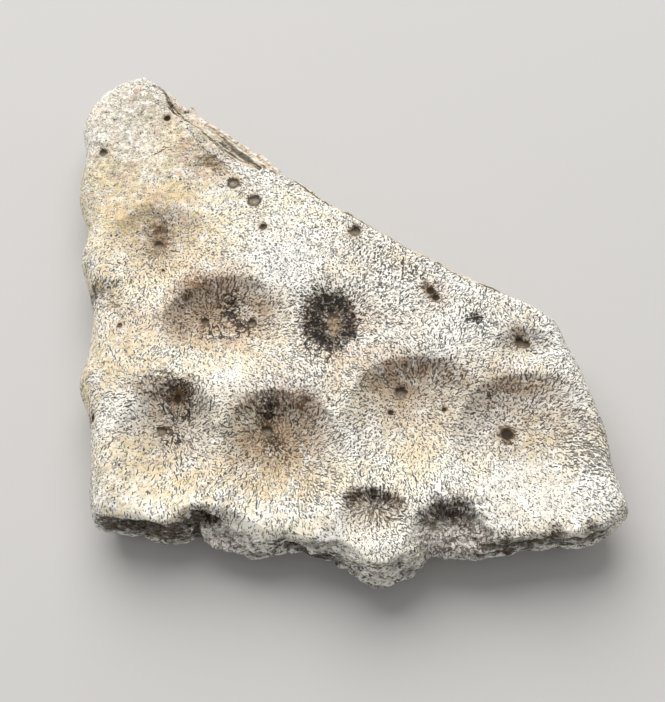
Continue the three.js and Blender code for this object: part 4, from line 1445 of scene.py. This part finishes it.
# The stain attribute also carries black painted shade in the hollows of the break.
stain_amount = stain_and_shade_at * 0.8 + (mottle - 0.5) * 1.7 + (speck - 0.5) * 1.4
stain_amount = stain_amount + (0.075 - tangle) * 5.0
stain_amount = stain_amount + (stain_threads - 0.5) * stain_reach.rise(5.5, 3.0) * 1.6
blot_lines = abs(grain(place + swirl.scaled(0.4), 1.1, 1.0) - 0.5)
blot_edge = blots_at * 0.095 + (speck - 0.5) * 0.05 - blot_lines
rusty = (tan_at + warm_at * 0.5) * middle.rise(0.48, 0.58) + pit_brown_and_shade_at * 0.5
pore_colour = blend(PORE, (RUST, rusty * 0.8), (BLACK, stain_and_shade_at.most(blots_at)))
colour = blend(
    colour,
    (DIRT_AND_SHADE, dirt_and_shade_amount.rise(0.2, 0.95) * 0.85),
    (GROOVE, floor_fan * 0.45),
    (BLACK, upper_fan * 0.5),
    (SMUDGE, (stain_and_shade_at + (small - 0.5) * 0.8).rise(0.35, 0.95) * 0.9),
    (BLACK, stain_amount.rise(0.42, 0.8) * 0.92),
    (BLACK, blot_edge.rise(0.0, 0.03) * blots_at.rise(0.1, 0.4) * 0.85),
    (pore_colour, pore_mask * 0.92),
    (GROOVE, cracked * 0.9),
)
print("with dirt and stain:", len(bone_finish.nodes), "nodes")

# %% [markdown]
# ## Colour of the foramina
#
# Most foramina are open, with a painted shadow below their upper lip. Some are filled level with
# clay and show only a dark ring, and in the black stain there is a pale mound instead. The
# darkness column of the table sorts them, so one formula serves all three.

# %% Fill the foramina
FILLING, HOLE = shade(122, 114, 98), shade(50, 40, 28)
MOUND, MOUND_DARK = shade(172, 152, 126), shade(104, 86, 70)
hole_edge = (hole_x * hole_x + hole_y * hole_y) ** 0.5
hole_edge = hole_edge + (mottle - 0.5) * 0.7 + (speck - 0.5) * 0.5
is_mound = hole_dark_at.rise(0.28, 0.22)
is_filled = hole_dark_at.rise(0.45, 0.35) * hole_dark_at.rise(0.1, 0.3)
# Painted shadow below the upper lip of an open hole.
shadow = (hole_y + hole_edge * 0.9).rise(0.1, 1.1).most(hole_dark_at.rise(0.75, 0.9))
ring = (hole_edge - is_mound * 0.3).rise(0.45, 0.75) * is_filled
mound = blend(MOUND, (MOUND_DARK, (mottle * 0.4 + speck * 0.6).rise(0.46, 0.58) * 0.8))
hole_colour = blend(
    FILLING,
    (DULL, (mottle * 0.5 + speck * 0.5).rise(0.46, 0.56)),
    (DIRT_AND_SHADE, hole_dark_at.rise(0.4, 0.9) * 0.6),
    (mound, is_mound),
    (HOLE, shadow.most(ring * 0.95) * 0.95),
)
halo = hole_edge.rise(2.3, 0.9) * hole_dark_at.rise(0.15, 0.9)
colour = blend(
    colour,
    (BROWN_AND_SHADE, halo * upper_at * 0.35),
    (hole_colour, hole_edge.rise(1.15, 0.75) * upper_at * 0.95),
)
print("with the foramina:", len(bone_finish.nodes), "nodes")

# %% [markdown]
# ## Surface of the bone
#
# Fossil bone is dry and almost without gloss. Its finest relief is too fine for the mesh, so a
# Bump node adds it: three sizes of grain, rougher on broken bone, less the pores, cracks and
# lines between layers. Only what changes over the surface is linked; the rest is set on the
# shader's own sockets.

# %% Connect the bone material
BUMP_MM = 0.08  # what a height of 1 stands for
rough_share = broken_at.most(wrinkled_at) * 1.8 + 0.8
texture = (small * 1.8 + mottle * 1.6 + speck * 0.9) * rough_share + fine_fibre * broken_at * 3.0
height = texture - pore_mask * 0.7 - cracked * 1.5 - layer_lines * on_ledge_at * 2.0
bump_sockets = {"Strength": 0.8, "Distance": BUMP_MM * MM, "Height": height}
bone_finish.feed(bone_finish.sockets["Base Color"], colour)
bone_finish.feed(bone_finish.sockets["Roughness"], small * 0.2 + 0.62)
bone_finish.feed(bone_finish.sockets["Normal"], add("ShaderNodeBump", {}, bump_sockets))
bone_finish.feed(bone_finish.sockets["Specular IOR Level"], 0.15)
mesh.materials.append(bone_finish.material)
print("bone material:", len(bone_finish.nodes), "nodes")

# %% [markdown]
# ## Floor and light
#
# The plate lies on a plain pale floor. One large round lamp stands behind it on the left, as
# beside a window, so that the far rims of the pits throw soft shadows into them; a pale sky fills
# the rest. A smaller lamp would draw hard shadow edges, which hide the shallow pits.

# %% Floor
FLOOR_HALF = 1.5  # metres
floor_corners = [(-FLOOR_HALF, -FLOOR_HALF, 0), (FLOOR_HALF, -FLOOR_HALF, 0)]
floor_corners += [(FLOOR_HALF, FLOOR_HALF, 0), (-FLOOR_HALF, FLOOR_HALF, 0)]
floor_mesh = bpy.data.meshes.new("floor")
floor_mesh.from_pydata(floor_corners, [], [(0, 1, 2, 3)])
floor_finish = Finish("floor_paint")
floor_finish.feed(floor_finish.sockets["Base Color"], (0.55, 0.55, 0.56, 1))
floor_finish.feed(floor_finish.sockets["Roughness"], 0.9)
floor_mesh.materials.append(floor_finish.material)
floor = in_scene("floor", floor_mesh)
print("floor:", 2 * FLOOR_HALF, "m square")

# %% Lamp and sky
LAMP_FROM = Vector((-0.22, 0.78, 0.95)).normalized()
LAMP_AWAY = 0.75  # metres from the middle of the plate
lamp = bpy.data.lights.new("key", "AREA")
lamp.shape = "DISK"
lamp.size = 0.95
lamp.energy = 7.9
lamp.color = (1.0, 0.975, 0.93)
key = in_scene("key", lamp)
key.location = LAMP_FROM * LAMP_AWAY
key.rotation_euler = LAMP_FROM.to_track_quat("Z", "Y").to_euler()

sky = bpy.data.worlds.new("studio")
sky.use_nodes = True
sky_sockets = sky.node_tree.nodes["Background"].inputs
sky_sockets["Color"].default_value = (1.0, 0.97, 0.93, 1)
sky_sockets["Strength"].default_value = 0.44
bpy.context.scene.world = sky
bpy.context.scene.view_settings.view_transform = "Standard"
print("lamp at", np.round(key.location, 2), "and a sky of", sky_sockets["Strength"].default_value)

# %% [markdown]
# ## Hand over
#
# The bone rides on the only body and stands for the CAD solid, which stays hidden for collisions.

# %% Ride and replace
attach(bone, "root")
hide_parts("scute")
